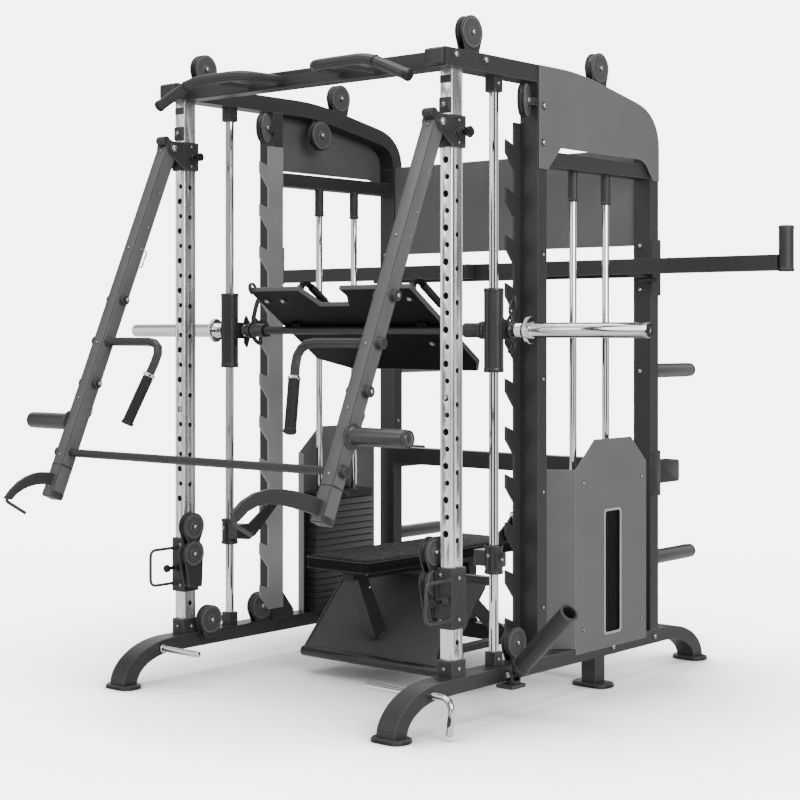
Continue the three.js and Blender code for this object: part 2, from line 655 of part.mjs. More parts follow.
// ---------- cable trolleys ----------
const TROLLEY = { z0: 316, z1: 512, x: 571, y: 4, wheels: [560, 460], r: 46 };

pair('trolley', () => {
  const half = WHEEL.w / 2 + 0.6;
  const cheekAt = (x0) => {
    const top = teardrop(TROLLEY.y, TROLLEY.wheels[0], 50, TROLLEY.y - 28, TROLLEY.y + 28, 500);
    const low = teardrop(TROLLEY.y, TROLLEY.wheels[1], 50, TROLLEY.y - 22, TROLLEY.y + 40, 336);
    return join(sheetX(top, x0, x0 + WHEEL.plate, 7), sheetX(low, x0, x0 + WHEEL.plate, 7));
  };
  const innerFace = SIDE - FRONT.w / 2 - SLEEVE.wall;
  const handle = [[650, -5, 475], [650, -125, 475], [650, -125, 345], [650, -5, 345]];
  const body = join(
    sleeve(TROLLEY.z0, TROLLEY.z1),
    cheekAt(TROLLEY.x - half - WHEEL.plate),
    cheekAt(TROLLEY.x + half),
    ...TROLLEY.wheels.map((z) => rodX(7, TROLLEY.x - half - 1, TROLLEY.x + half + 1, TROLLEY.y, z, 8)),
    box(TROLLEY.x + half + 2, innerFace + 1, -10, 40, 350, 500),
    box(TROLLEY.x - half - 1, TROLLEY.x + half + 1, -14, 34, 340, 400),
    pipe(handle, 5.5, 26, 8),
    rodY(11, -26, -6, SIDE, HOLE.lock, 12),
  );
  return cut(body, rodY(6 + GAP, -27, 0, SIDE, HOLE.lock, 12));
}, mat.frame);

pair('trolley_pin', () => join(
  rodY(6, -60, -GAP, SIDE, HOLE.lock, 12),
  rodY(12, -70, -54, SIDE, HOLE.lock, 16),
), mat.black);

for (const [i, z] of TROLLEY.wheels.entries()) {
  const label = i === 0 ? 'trolley_upper_wheel' : 'trolley_lower_wheel';
  pair(label, () => wheel(TROLLEY.x, TROLLEY.y, z, TROLLEY.r), mat.black);
}
pair('top_wheel', () => wheel(SIDE, TOP_FRONT.y, TOP_FRONT.z, 52), mat.black);

// ---------- cross members ----------
const span = inner - GAP;

{
  const grip = (inside, bend, end) => pipe([[inside, 12, 2160], [inside * 1.12, -168, 2160],
    [bend, -172, 2160], [end, -182, 2084]], 19, 52, 12);
  const strut = (x) => rodY(12, -166, 10, x, 2150, 10);
  const bar = box(-span, span, 2, 60, 2131, 2189);
  const grips = [grip(168, 446, 630), grip(-122, -370, -542), strut(330), strut(-262)];
  put('pull_up_bar', join(bar, ...grips), mat.frame);
}
put('upper_cross_tube', box(-span, span, 1185, REAR.y1, 1482, 1550), mat.frame);
put('lower_cross_tube', box(-span, span, 1185, REAR.y1, 722, 790), mat.frame);
put('rear_panel', box(-span, span, 1190, 1194, 1600, 1968), mat.panel);
put('base_cross_tube', box(-span, span, 895, 955, 99, RAIL.z1 - 1), mat.frame);

{
  const half = 330;
  const sheet = polygon([[348, 83], [605, 362], [650, 362], [650, 356], [608, 356], [353, 78]]);
  const strut = polygon([[600, 354], [640, 354], [894, 150], [894, 104], [868, 104], [600, 320]]);
  const gusset = polygon([[372, 101], [420, 101], [420, 158]]);
  const skid = (x) => box(x - 20, x + 20, 392, 894.7, 100, 124);
  put('row_foot_plate', join(
    sheetX(sheet, -half, half),
    rodX(14, -half, half, 354, 84, 12),
    box(-half, half, 616, 642, 361, 386),
    skid(-200),
    skid(200),
    sheetX(strut, -206, -194),
    sheetX(strut, 194, 206),
    sheetX(gusset, -214, -186),
    sheetX(gusset, 186, 214),
  ), mat.frame);
}

{
  const s = new THREE.Shape();
  const half = SEAT.w / 2;
  const r = 26;
  s.moveTo(-half + r, SEAT.y0);
  s.lineTo(half - r, SEAT.y0);
  s.absarc(half - r, SEAT.y0 + r, r, -Math.PI / 2, 0, false);
  s.lineTo(half, SEAT.y1 - r);
  s.absarc(half - r, SEAT.y1 - r, r, 0, Math.PI / 2, false);
  s.lineTo(-half + r, SEAT.y1);
  s.absarc(-half + r, SEAT.y1 - r, r, Math.PI / 2, Math.PI, false);
  s.lineTo(-half, SEAT.y0 + r);
  s.absarc(-half + r, SEAT.y0 + r, r, Math.PI, Math.PI * 1.5, false);
  put('seat_pad', sheetZ(s, SEAT.z0, SEAT.z1, 4), mat.leather);

  // slanted front leg: its foot rests on the sloping foot plate
  const leg = polygon([[282, 392], [338, 392], [446, 196], [428, 177], [412, 160], [384, 160]]);
  const surface = polygon([[300, 31.4], [620, 378.6], [620, 100], [300, 20]]);
  const legX = -30;
  const frame = join(
    box(-26, 26, 238, 1010, 388, SEAT.z0 - GAP),
    cut(sheetX(leg, legX - 27, legX + 27), sheetX(surface, legX - 60, legX + 60)),
    box(-26, 26, 902, 948, RAIL.z1 - 1 + GAP, 389),
  );
  put('seat_frame', frame, mat.frame);
}

// ---------- side bars ----------
pair('side_bar', () => join(
  box(SIDE_BAR.x0, SIDE_BAR.x1, SIDE_BAR.y0, SIDE_BAR.y1, SIDE_BAR.z0, SIDE_BAR.z1),
  rodZ(26, 1489, 1647, SIDE_BAR.x1 + 24, (SIDE_BAR.y0 + SIDE_BAR.y1) / 2, 20),
  rodY(10, SIDE_BAR.y0 - 26, SIDE_BAR.y0 + 1, 196, 1519, 12),
), mat.frame);

// ---------- landmine ----------
{
  const pivot = LANDMINE.z - 108;
  const ear = (y) => box(-14, 14, y, y + 5, 8, pivot + 14);
  const yoke = cut(
    join(rodZ(24, GAP, 10, 0, 0), ear(-19), ear(14), rodY(5, -18, 18, 0, pivot, 10)),
    rodZ(10, -1, 14, 0, 0, 12),
  );
  // open tube on a short tongue that turns on the cross pin of the yoke
  const wall = [[24.5, 52], [30.5, 52], [30.5, LANDMINE.length], [24.5, LANDMINE.length], [24.5, 52]];
  const points = wall.map(([r, h]) => new THREE.Vector2(r, h));
  const tube = solid(new THREE.LatheGeometry(points, 20).rotateX(Math.PI / 2));
  const tongue = join(box(-9, 9, -10, 10, 4, 54), rodY(12, -12, 12, 0, 0), rodZ(30, 46, 56, 0, 0, 20));
  const holder = new THREE.Group();
  holder.position.set(LANDMINE.x, LANDMINE.y, 108);
  holder.rotation.z = THREE.MathUtils.degToRad(LANDMINE.yaw);
  root.add(holder);
  put('landmine_yoke', yoke, mat.black, { parent: holder });
  const body = cut(join(tube, tongue), rodY(5 + GAP, -14, 14, 0, 0, 12));
  const mesh = put('landmine_tube', body, mat.frame, { parent: holder });
  mesh.position.z = pivot;
  mesh.rotation.y = THREE.MathUtils.degToRad(90 - LANDMINE.lift);
}

// Centre the footprint on the origin, standing on Z = 0.
root.updateMatrixWorld(true);
const bounds = new THREE.Box3().setFromObject(root, true);
const middle = bounds.getCenter(new THREE.Vector3());
root.position.set(-middle.x, -middle.y, -bounds.min.z);

export default root;
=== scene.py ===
"""Looks of the smith machine: materials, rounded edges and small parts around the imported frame."""
import math

import bmesh
import bpy
from mathutils import Matrix, Vector


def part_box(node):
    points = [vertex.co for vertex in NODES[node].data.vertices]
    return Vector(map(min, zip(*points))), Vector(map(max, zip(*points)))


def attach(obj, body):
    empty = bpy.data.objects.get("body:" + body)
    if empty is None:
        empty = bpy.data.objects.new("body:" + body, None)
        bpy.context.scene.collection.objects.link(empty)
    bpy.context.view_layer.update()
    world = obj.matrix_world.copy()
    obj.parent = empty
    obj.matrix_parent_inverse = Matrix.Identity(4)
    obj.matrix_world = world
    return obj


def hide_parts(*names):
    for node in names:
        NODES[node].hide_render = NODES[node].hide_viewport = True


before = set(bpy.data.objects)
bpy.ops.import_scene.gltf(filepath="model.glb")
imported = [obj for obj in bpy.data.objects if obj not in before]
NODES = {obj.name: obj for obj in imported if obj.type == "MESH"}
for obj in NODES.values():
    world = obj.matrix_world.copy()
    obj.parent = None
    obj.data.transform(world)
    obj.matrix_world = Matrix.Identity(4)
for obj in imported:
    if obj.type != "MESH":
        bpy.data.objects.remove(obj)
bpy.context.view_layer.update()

# --- places, in millimetres from the front faces of the front uprights ---
MM = 0.001
STOP_PLATE = 5  # it stands this far in front of the uprights
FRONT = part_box("right_front_upright")[0][1] + STOP_PLATE * MM
SIDE = 631  # centre plane of each side frame
DEPTH = 60  # front uprights, from front to back
ROD_Y = 258  # guide rods of the bar
BAR_Y, BAR_Z = 298, 1281  # centre line of the guided bar
LOCK_Z, COLLAR_Z = 405, 1920  # pins of the trolley and of the arm collar
WHEEL_X = 571  # wheels of the trolley
TOP_WHEEL = (122, 2259)  # y and z of the wheel over the front upright
INNER_WHEEL = (588, 718, 2061)
YOKE = (702, 272, 136)  # cross pin of the landmine tube
STACK_Z, PLATE_PITCH, PLATES = 160, 26, 17
SIDES = {"right": 1, "left": -1}
X_AXIS, Y_AXIS, Z_AXIS = (1, 0, 0), (0, 1, 0), (0, 0, 1)
FORWARD = (0, -1, 0)
FULL = 2 * math.pi


def at(x, y, z):
    """A point of the machine in the row frame, in metres."""
    return Vector((x * MM, FRONT + y * MM, z * MM))


def new_object(name, data):
    obj = bpy.data.objects.new(name, data)
    bpy.context.collection.objects.link(obj)
    return obj


def mesh_object(name, form):
    """Makes an object of a bmesh, with its faces turned outwards."""
    bmesh.ops.recalc_face_normals(form, faces=form.faces)
    mesh = bpy.data.meshes.new(name)
    form.to_mesh(mesh)
    form.free()
    return new_object(name, mesh)


# --- shader nodes ---
def add_node(tree, kind, inputs=None, **options):
    """A node with its options; each input is a number, a colour or another node's output."""
    node = tree.nodes.new(kind)
    for key, value in options.items():
        setattr(node, key, value)
    feed(tree, node, inputs or {})
    return node


def feed(tree, node, inputs):
    for key, value in inputs.items():
        if isinstance(value, bpy.types.NodeSocket):
            tree.links.new(value, node.inputs[key])
        else:
            node.inputs[key].default_value = value


def math_node(tree, operation, *values):
    return add_node(tree, "ShaderNodeMath", dict(enumerate(values)), operation=operation).outputs[0]


def spread(tree, source, low, high, start=0.35, stop=0.65, kind="LINEAR"):
    """Maps start..stop, such as a texture's middle values, onto low..high."""
    inputs = {"Value": source, "From Min": start, "From Max": stop, "To Min": low, "To Max": high}
    return add_node(tree, "ShaderNodeMapRange", inputs, interpolation_type=kind).outputs[0]


def blend(tree, fac, low, high):
    """A number between low and high."""
    return add_node(tree, "ShaderNodeMix", {0: fac, 2: low, 3: high}).outputs[0]


# --- camera, light and floor ---
def make_camera():
    data = bpy.data.cameras.new("camera")
    data.lens = 77.31
    data.sensor_width = 36
    data.shift_y = -0.0853
    data.clip_end = 60
    camera = new_object("camera", data)
    camera.location = at(4099.7, -4335.8, 1275.9)
    camera.rotation_euler = (math.pi / 2, 0, math.radians(40.18))
    bpy.context.scene.camera = camera


# how bright the room is between its soft boxes, at them, overhead, all round, and behind the object
ROOM_DARK = 0.04
ROOM_BRIGHT = 1.5
ROOM_CEILING = 0.9
ROOM_AMBIENT = 0.62
BACKGROUND = 6.0
BACKGROUND_COLOUR = (1, 0.995, 0.99, 1)
FLOOR_LIFT = 4.6


def area_light(name, place, target, size, power):
    data = bpy.data.lights.new(name, "AREA")
    data.shape = "RECTANGLE"
    data.size, data.size_y = size
    data.energy = power
    light = new_object(name, data)
    light.location = place
    light.rotation_euler = (Vector(target) - Vector(place)).to_track_quat("-Z", "Y").to_euler()


def make_light():
    """A pale room; gloss sees five upright soft boxes in it, so round steel shows bright and dark stripes."""
    world = bpy.data.worlds.new("studio")
    world.use_nodes = True
    tree = world.node_tree
    tree.nodes.clear()
    out = add_node(tree, "ShaderNodeOutputWorld")
    place = add_node(tree, "ShaderNodeTexCoord")
    part = add_node(tree, "ShaderNodeSeparateXYZ", {0: place.outputs["Generated"]})
    ray = add_node(tree, "ShaderNodeLightPath")
    turn = math_node(tree, "ARCTAN2", part.outputs["Y"], part.outputs["X"])
    wave = math_node(tree, "SINE", math_node(tree, "MULTIPLY_ADD", turn, 5.0, 0.9))
    boxes = spread(tree, wave, ROOM_DARK, ROOM_BRIGHT, -0.25, 0.35, "SMOOTHSTEP")
    overhead = spread(tree, part.outputs["Z"], 0, 1, 0.45, 0.8, "SMOOTHSTEP")
    mirrored = blend(tree, overhead, boxes, ROOM_CEILING)
    strength = blend(tree, ray.outputs["Is Glossy Ray"], ROOM_AMBIENT, mirrored)
    lighting = add_node(tree, "ShaderNodeBackground", {"Color": (1, 1, 1, 1), "Strength": strength})
    seen = add_node(tree, "ShaderNodeBackground", {"Color": BACKGROUND_COLOUR, "Strength": BACKGROUND})
    mix = add_node(tree, "ShaderNodeMixShader",
                   {0: ray.outputs["Is Camera Ray"], 1: lighting.outputs[0], 2: seen.outputs[0]})
    tree.links.new(mix.outputs[0], out.inputs["Surface"])
    bpy.context.scene.world = world
    centre = (0, 0, 1.1)
    area_light("key", (5.2, -1.6, 3.0), centre, (2.6, 2.6), 250)
    area_light("front", (-1.5, -5.0, 3.6), centre, (2.4, 3.0), 60)
    area_light("top", (0, -0.6, 5.2), (0, 0, 0), (4.0, 4.0), 200)
    area_light("back", (-3.4, 4.6, 3.4), centre, (3.0, 3.0), 110)


def make_floor():
    """A pale disc that fades out towards its rim, so no horizon shows from any side."""
    mesh = bpy.data.meshes.new("floor")
    form = bmesh.new()
    bmesh.ops.create_circle(form, cap_ends=True, radius=9.0, segments=96)
    form.to_mesh(mesh)
    form.free()
    floor = new_object("floor", mesh)
    floor.location.z = -0.0005
    material, tree, shader = new_material("floor")
    # lifts the floor to the backdrop's brightness where the camera sees it; ambient occlusion takes the lift
    # away close to the machine, a painted shadow under and round it
    ray = add_node(tree, "ShaderNodeLightPath")
    near = add_node(tree, "ShaderNodeAmbientOcclusion", {"Distance": 1.7}, samples=12)
    painted_shadow_factor = math_node(tree, "POWER", near.outputs["AO"], 5.0)
    seen = math_node(tree, "MULTIPLY", ray.outputs["Is Camera Ray"], FLOOR_LIFT)
    place = add_node(tree, "ShaderNodeTexCoord")
    length = add_node(tree, "ShaderNodeVectorMath", {0: place.outputs["Object"]}, operation="LENGTH")
    feed(tree, shader, {
        "Base Color": (0.86, 0.855, 0.85, 1), "Roughness": 0.65, "Specular IOR Level": 0.2,
        "Emission Color": BACKGROUND_COLOUR, "Emission Strength": math_node(tree, "MULTIPLY", seen, painted_shadow_factor),
        "Alpha": spread(tree, length.outputs["Value"], 1, 0, 2.4, 5.5, "SMOOTHSTEP")})
    mesh.materials.append(material)


def new_material(name):
    material = bpy.data.materials.new(name)
    material.use_nodes = True
    return material, material.node_tree, material.node_tree.nodes["Principled BSDF"]


make_camera()
make_light()
make_floor()


# --- materials ---
NOISE, CELLS = "ShaderNodeTexNoise", "ShaderNodeTexVoronoi"


def texture(tree, kind, scale, stretch=(1, 1, 1), **inputs):
    """A texture in the piece's own coordinates; scale is in features per metre."""
    place = add_node(tree, "ShaderNodeTexCoord")
    mapping = add_node(tree, "ShaderNodeMapping", {"Vector": place.outputs["Object"], "Scale": stretch})
    return add_node(tree, kind, {"Scale": scale, "Vector": mapping.outputs["Vector"], **inputs}).outputs[0]


def tint(tree, fac, low, high):
    """Colour between low and high, each a grey value or another node's colour."""
    greys = [v if isinstance(v, bpy.types.NodeSocket) else (v, v, v, 1) for v in (low, high)]
    return add_node(tree, "ShaderNodeMix", {0: fac, 6: greys[0], 7: greys[1]}, data_type="RGBA").outputs[2]


def surface(tree, shader, source, greys, roughs, height, relief, metal=0.0, spec=0.5):
    """Colour and roughness that follow one texture, and relief (strength, distance) from another."""
    colour = tint(tree, spread(tree, source, 0, 1), *greys)
    raised = add_node(tree, "ShaderNodeBump", {"Height": height, "Strength": relief[0], "Distance": relief[1]})
    feed(tree, shader, {
        "Base Color": colour, "Roughness": spread(tree, source, *roughs), "Normal": raised.outputs["Normal"],
        "Metallic": metal, "Specular IOR Level": spec})
    return colour


def coated(name, grey, rough, grain=700, relief=0.25, metal=0.0, spec=0.5, edge=2.2):
    """Powder coat: fine grain in the relief, soft blotches in the sheen, and a painted highlight that makes the
    colour paler along the edges, where rounded edges catch the light.
    """
    material, tree, shader = new_material(name)
    fine = texture(tree, NOISE, grain, Detail=3)
    blotch = texture(tree, NOISE, 6, Detail=4)
    colour = surface(tree, shader, blotch, (grey * 0.95, grey * 1.05), (rough - 0.03, rough + 0.03),
                     fine, (relief, 0.0004), metal, spec)
    geometry = add_node(tree, "ShaderNodeNewGeometry")
    rounded = add_node(tree, "ShaderNodeBevel", {"Radius": 0.004}, samples=4)
    alike = add_node(tree, "ShaderNodeVectorMath", {0: geometry.outputs["Normal"], 1: rounded.outputs[0]},
                     operation="DOT_PRODUCT")
    # painted highlight: within 4 mm of an edge the colour goes over to edge times the grey
    painted_edge_highlight = spread(tree, alike.outputs["Value"], 1, 0, 0.86, 0.99)
    tree.links.new(tint(tree, painted_edge_highlight, colour, grey * edge), shader.inputs["Base Color"])
    return material


def brushed(name, grey, rough, stretch):
    """Brushed steel: long fine scratches along one axis."""
    material, tree, shader = new_material(name)
    scratch = texture(tree, NOISE, 220, stretch, Detail=5)
    cloud = texture(tree, NOISE, 3.5, Detail=3)
    surface(tree, shader, scratch, (grey * 0.9, grey * 1.08), (rough, rough), scratch, (0.05, 0.0002),
            metal=0.9)
    tree.links.new(spread(tree, cloud, rough - 0.07, rough + 0.08), shader.inputs["Roughness"])
    return material


def polished(name, grey, rough):
    """Chrome: nearly clean, with faint smears in its gloss."""
    material, tree, shader = new_material(name)
    smear = texture(tree, NOISE, 14, (1, 1, 0.3), Detail=5)
    surface(tree, shader, smear, (grey * 0.95, grey), (rough, rough + 0.05), smear, (0.004, 0.0002),
            metal=1.0)
    return material


def moulded(name, grey, rough, grain=420, relief=0.3):
    """Moulded plastic or rubber with a stippled skin."""
    material, tree, shader = new_material(name)
    stipple = texture(tree, CELLS, grain)
    cloud = texture(tree, NOISE, 9, Detail=3)
    surface(tree, shader, cloud, (grey * 0.8, grey * 1.2), (rough - 0.05, rough + 0.07),
            stipple, (relief, 0.0004), spec=0.3)
    return material


def upholstery(name, grey, rough):
    """Artificial leather: pebbled cells with fine creases."""
    material, tree, shader = new_material(name)
    pebble = texture(tree, CELLS, 330)
    crease = texture(tree, NOISE, 60, Detail=4, Distortion=0.6)
    surface(tree, shader, crease, (grey * 0.8, grey * 1.25), (rough - 0.05, rough + 0.1),
            math_node(tree, "MULTIPLY_ADD", crease, 0.3, pebble), (0.16, 0.0004), spec=0.09)
    return material


def checkered(name, grey, rough):
    """Textured sheet for feet: a grid of small raised studs under the coating."""
    material, tree, shader = new_material(name)
    studs = texture(tree, CELLS, 110, Randomness=0.0)
    blotch = texture(tree, NOISE, 8, Detail=4)
    surface(tree, shader, blotch, (grey * 0.82, grey * 1.18), (rough - 0.06, rough + 0.08),
            spread(tree, studs, 1, 0, 0.15, 0.4), (0.45, 0.0012), spec=0.3)
    return material


# edge: how many times the grey the painted edge highlight reaches at an edge
PAINT = coated("frame_paint", 0.026, 0.42, spec=0.3, edge=3.4)
PANEL = coated("panel_paint", 0.102, 0.5, relief=0.18, spec=0.3, edge=2.0)
# painted light: the arm paint is a paler copy of the frame paint, for the light that the arms' forward-leaning
# faces catch
ARM = coated("arm_paint_with_painted_light", 0.085, 0.4, spec=0.35, edge=2.6)
BLACK = coated("black_paint", 0.016, 0.3, spec=0.42, edge=4.0)
CAST = coated("stack_coat", 0.016, 0.5, grain=260, relief=0.5, spec=0.3, edge=2.0)
GREY_PLATE = coated("notch_plate_paint", 0.24, 0.38, relief=0.1, metal=0.25, edge=1.5)
STEEL = brushed("brushed_steel", 0.78, 0.27, (1, 1, 0.02))
CHROME = polished("chrome", 0.7, 0.06)
BOLT = polished("bolt_zinc", 0.42, 0.26)
PLASTIC = moulded("black_plastic", 0.009, 0.42)
RUBBER = moulded("rubber", 0.014, 0.66, grain=260, relief=0.5)
LEATHER = upholstery("seat_leather", 0.005, 0.62)
TREAD = checkered("tread_sheet", 0.006, 0.5)
GUARD = coated("pulley_plate_paint", 0.05, 0.45, spec=0.3, edge=3.0)
HORN = coated("horn_coat", 0.03, 0.32, spec=0.45, edge=2.0)
# near-black, a darker copy of the black paint: painted shade for the press plate's shaded underside, the inside
# of the drilled uprights and the shroud slot
PAINTED_SHADE_BLACK = coated("black_with_painted_shade", 0.003, 0.5, grain=300, spec=0.1, edge=3.0)
FOOT_GREY = coated("foot_plate_coat", 0.055, 0.6, grain=420, relief=0.6, spec=0.2, edge=2.0)
LIP = coated("press_lip_paint", 0.075, 0.4, spec=0.3, edge=2.0)
PANEL_LIGHT = coated("slot_rim_paint", 0.3, 0.4, edge=1.4)
PIPING = moulded("seam_piping", 0.02, 0.5)
EDGE = coated("plate_edges", 0.024, 0.4, grain=300, relief=0.4, edge=2.0)

# slot of each material; a piece can name another
SLOTS = {
    "frame_paint": (PAINT, ARM, GUARD, HORN, LIP), "panel_paint": (PANEL_LIGHT,), "brushed_steel": (STEEL,),
    "chrome": (CHROME, BOLT), "black_paint": (BLACK, FOOT_GREY), "cast_iron": (EDGE,),
    "leather": (LEATHER, PIPING), "black_plastic": (PLASTIC, RUBBER, TREAD, PAINTED_SHADE_BLACK)}
SLOT_OF = {material.name: slot for slot, group in SLOTS.items() for material in group}
SHARP_ANGLE = math.radians(32)  # shaded as an edge
BEVEL_ANGLE = math.radians(50)  # rounded off


# --- carried CAD nodes ---
def smooth_group():
    """Shades smooth except across sharp edges."""
    group = bpy.data.node_groups.new("smooth_by_angle", "GeometryNodeTree")
    for way in ("INPUT", "OUTPUT"):
        group.interface.new_socket("Geometry", in_out=way, socket_type="NodeSocketGeometry")
    enter = add_node(group, "NodeGroupInput")
    angle = add_node(group, "GeometryNodeInputMeshEdgeAngle")
    sharp = add_node(group, "FunctionNodeCompare", {0: angle.outputs["Unsigned Angle"], 1: SHARP_ANGLE},
                     operation="GREATER_THAN")
    faces = add_node(group, "GeometryNodeSetShadeSmooth", {"Geometry": enter.outputs[0]})
    edges = add_node(group, "GeometryNodeSetShadeSmooth", domain="EDGE", inputs={
        "Geometry": faces.outputs[0], "Selection": sharp.outputs[0], "Shade Smooth": False})
    add_node(group, "NodeGroupOutput", {0: edges.outputs[0]})
    return group


SMOOTH = smooth_group()


def round_edges(obj, width, miter):
    bevel = obj.modifiers.new("rounded edges", "BEVEL")
    bevel.width = width * MM
    bevel.segments = 2
    bevel.limit_method = "ANGLE"
    bevel.angle_limit = BEVEL_ANGLE
    bevel.miter_outer = miter


def finish_edges(obj, width=0.0, merge=True):
    """Flat facets are merged, edges rounded, and round surfaces shaded smooth."""
    if width and merge:
        flat = obj.modifiers.new("merge flat facets", "DECIMATE")
        flat.decimate_type = "DISSOLVE"
        flat.angle_limit = math.radians(1)
    if width:
        round_edges(obj, width, "MITER_ARC")
    obj.modifiers.new("smooth", "NODES").node_group = SMOOTH


# material, width of the rounded edges, and the nodes (of one name, or of both sides)
DRESSES = (
    (PAINT, 2.0, "base_rail mid_upright rear_upright top_beam stack_frame side_bar pull_up_bar"),
    (PAINT, 3.0, "upper_cross_tube lower_cross_tube base_cross_tube seat_frame"),
    (PAINT, 0.8, "arm_collar trolley landmine_tube"),
    (PAINT, 0, "lever_arm"),
    (PAINT, 1.0, "arm_cross_bar right_notch_plate"),
    (GREY_PLATE, 1.0, "left_notch_plate"),
    (PANEL, 0.8, "side_cover shroud rear_panel"),
    (STEEL, 1.5, "front_upright"),
    (CHROME, 1.0, "smith_rod smith_bar"),
    (BLACK, 1.5, "bearing safety_stop landmine_yoke"),
    (CAST, 0.8, "weight_stack stack_top_plate"),
    (PLASTIC, 1.2, "collar_pin trolley_pin trolley_upper_wheel trolley_lower_wheel top_wheel"),
    # the press plate's visible underside lies in shade, painted into its near-black
    (PAINTED_SHADE_BLACK, 1.5, "leg_press_plate"),
    (FOOT_GREY, 1.5, "row_foot_plate"),
    (LEATHER, 6.0, "seat_pad"))
for material, width, names in DRESSES:
    for name in names.split():
        for node in [name] if name in NODES else [f"{side}_{name}" for side in SIDES]:
            NODES[node].data.materials.clear()
            NODES[node].data.materials.append(material)
            finish_edges(NODES[node], width)


# --- building pieces ---
def machine(x=0.0, y=0.0, z=0.0, turn=0.0, axis="X"):
    """A local frame of the machine, in millimetres: moved to (x, y, z) and turned about an axis."""
    return Matrix.Translation((x, y, z)) @ Matrix.Rotation(turn, 4, axis)


class Form:
    """The mesh of one piece, in machine millimetres or in a local frame given as place."""

    def __init__(self, place=None):
        self.mesh = bmesh.new()
        self.place = place or Matrix.Identity(4)

    def vert(self, point):
        return self.mesh.verts.new(at(*(self.place @ Vector(point))))

    def ring_at(self, outline, w, axis):
        """Vertices of an outline at height w along an axis; its points are (x, y), (x, z) or (y, z)."""
        spots = [{"X": (w, u, v), "Y": (u, w, v), "Z": (u, v, w)}[axis] for u, v in outline]
        return [self.vert(spot) for spot in spots]

    def skin(self, rows, closed):
        """Faces between rings of vertices; a ring of one vertex is a tip."""
        following = rows[1:] + rows[:1] if closed else rows[1:]
        for low, high in zip(rows, following):
            count = max(len(low), len(high))
            for k in range(count):
                n = (k + 1) % count
                corners = [low[k % len(low)], low[n % len(low)], high[n % len(high)], high[k % len(high)]]
                corners = [v for i, v in enumerate(corners) if v is not corners[i - 1]]
                self.mesh.faces.new(corners)

    def turned(self, centre, axis, profile, sides=24, ring=False):
        """Revolves (radius, height) points about an axis through centre; ring joins the last to the first."""
        basis = Vector(axis).to_track_quat("Z", "Y")
        rows = []
        for radius, height in profile:
            count = 1 if radius == 0 else sides
            rows.append([])
            for k in range(count):
                angle = FULL * (k + 0.5) / sides
                local = Vector((radius * math.cos(angle), radius * math.sin(angle), height))
                rows[-1].append(self.vert(Vector(centre) + basis @ local))
        self.skin(rows, ring)
        return self

    def swept(self, points, radii, sides=12, up=Z_AXIS, flat=1.0):
        """A round or flattened section along a path, with a radius at each point and closed ends."""
        path = [Vector(p) for p in points]
        sizes = radii if isinstance(radii, (list, tuple)) else [radii] * len(path)
        side = Vector(up)
        rows = []
        for i, (point, radius) in enumerate(zip(path, sizes)):
            along = (path[min(i + 1, len(path) - 1)] - path[max(i - 1, 0)]).normalized()
            side = (side - along * side.dot(along)).normalized()
            other = along.cross(side)
            ring = []
            for k in range(sides):
                angle = FULL * k / sides
                local = side * math.cos(angle) + other * math.sin(angle) * flat
                ring.append(self.vert(point + local * radius))
            rows.append(ring)
        self.skin(rows, False)
        self.mesh.faces.new(rows[0])
        self.mesh.faces.new(rows[-1])
        return self

    def slab(self, outline, low, high, axis="Z"):
        """An outline pushed along an axis."""
        rows = [self.ring_at(outline, w, axis) for w in (low, high)]
        self.skin(rows, False)
        for row in rows:
            self.mesh.faces.new(row)
        return self

    def block(self, x0, x1, y0, y1, z0, z1):
        return self.slab([(x0, y0), (x1, y0), (x1, y1), (x0, y1)], z0, z1)

    def frame(self, outside, inside, low, high, axis="Z"):
        """A flat ring between two outlines with equally many points."""
        around = ((outside, low), (outside, high), (inside, high), (inside, low))
        self.skin([self.ring_at(line, w, axis) for line, w in around], True)
        return self

    def piece(self, name, body, material, edge=0.0, slot=None, hides=()):
        """Makes the object, on its body; hides names the CAD node that it stands for."""
        obj = mesh_object(name, self.mesh)
        obj.data.materials.append(material)
        finish_edges(obj, edge, merge=False)
        slot = slot or SLOT_OF[material.name]
        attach(obj, body)
        if hides:
            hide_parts(*hides)
        return obj


def rounded_box(u0, u1, v0, v1, r, steps=4):
    """Outline of a rectangle with round corners."""
    points = []
    corners = ((u1 - r, v1 - r, 0), (u0 + r, v1 - r, 1), (u0 + r, v0 + r, 2), (u1 - r, v0 + r, 3))
    for u, v, quarter in corners:
        for k in range(steps + 1):
            angle = math.pi / 2 * (quarter + k / steps)
            points.append((u + r * math.cos(angle), v + r * math.sin(angle)))
    return points


def around(middle, half, low, high, r, steps=4):
    """Outline of a round-cornered rectangle that reaches half to each side of middle."""
    return rounded_box(middle - half, middle + half, low, high, r, steps)


def dome(r):
    """Profile of a domed bolt head with a socket."""
    return [(0, -1), (r, -1), (r, r * 0.3), (r * 0.94, r * 0.62), (r * 0.66, r * 0.92), (r * 0.42, r),
            (r * 0.36, r * 0.55), (0, r * 0.5)]


def washer(r):
    """Profile of the dark washer under a bolt head."""
    return [(r * 0.9, -1), (r * 1.5, -1), (r * 1.5, r * 0.14), (r * 1.35, r * 0.28), (r * 0.9, r * 0.3)]


def smooth_path(points, steps):
    """Catmull-Rom curve through the points."""
    spots = [Vector(p) for p in points]
    spots = [spots[0] * 2 - spots[1]] + spots + [spots[-1] * 2 - spots[-2]]
    line = []
    for a, b, c, d in zip(spots, spots[1:], spots[2:], spots[3:]):
        for k in range(steps):
            t = k / steps
            line.append(0.5 * (b * 2 + (c - a) * t + (a * 2 - b * 5 + c * 4 - d) * t ** 2
                               + (b * 3 - a - c * 3 + d) * t ** 3))
    return line + [spots[-2]]


BIG, MIDDLE, SMALL = 13, 9, 6  # radii of the bolt heads


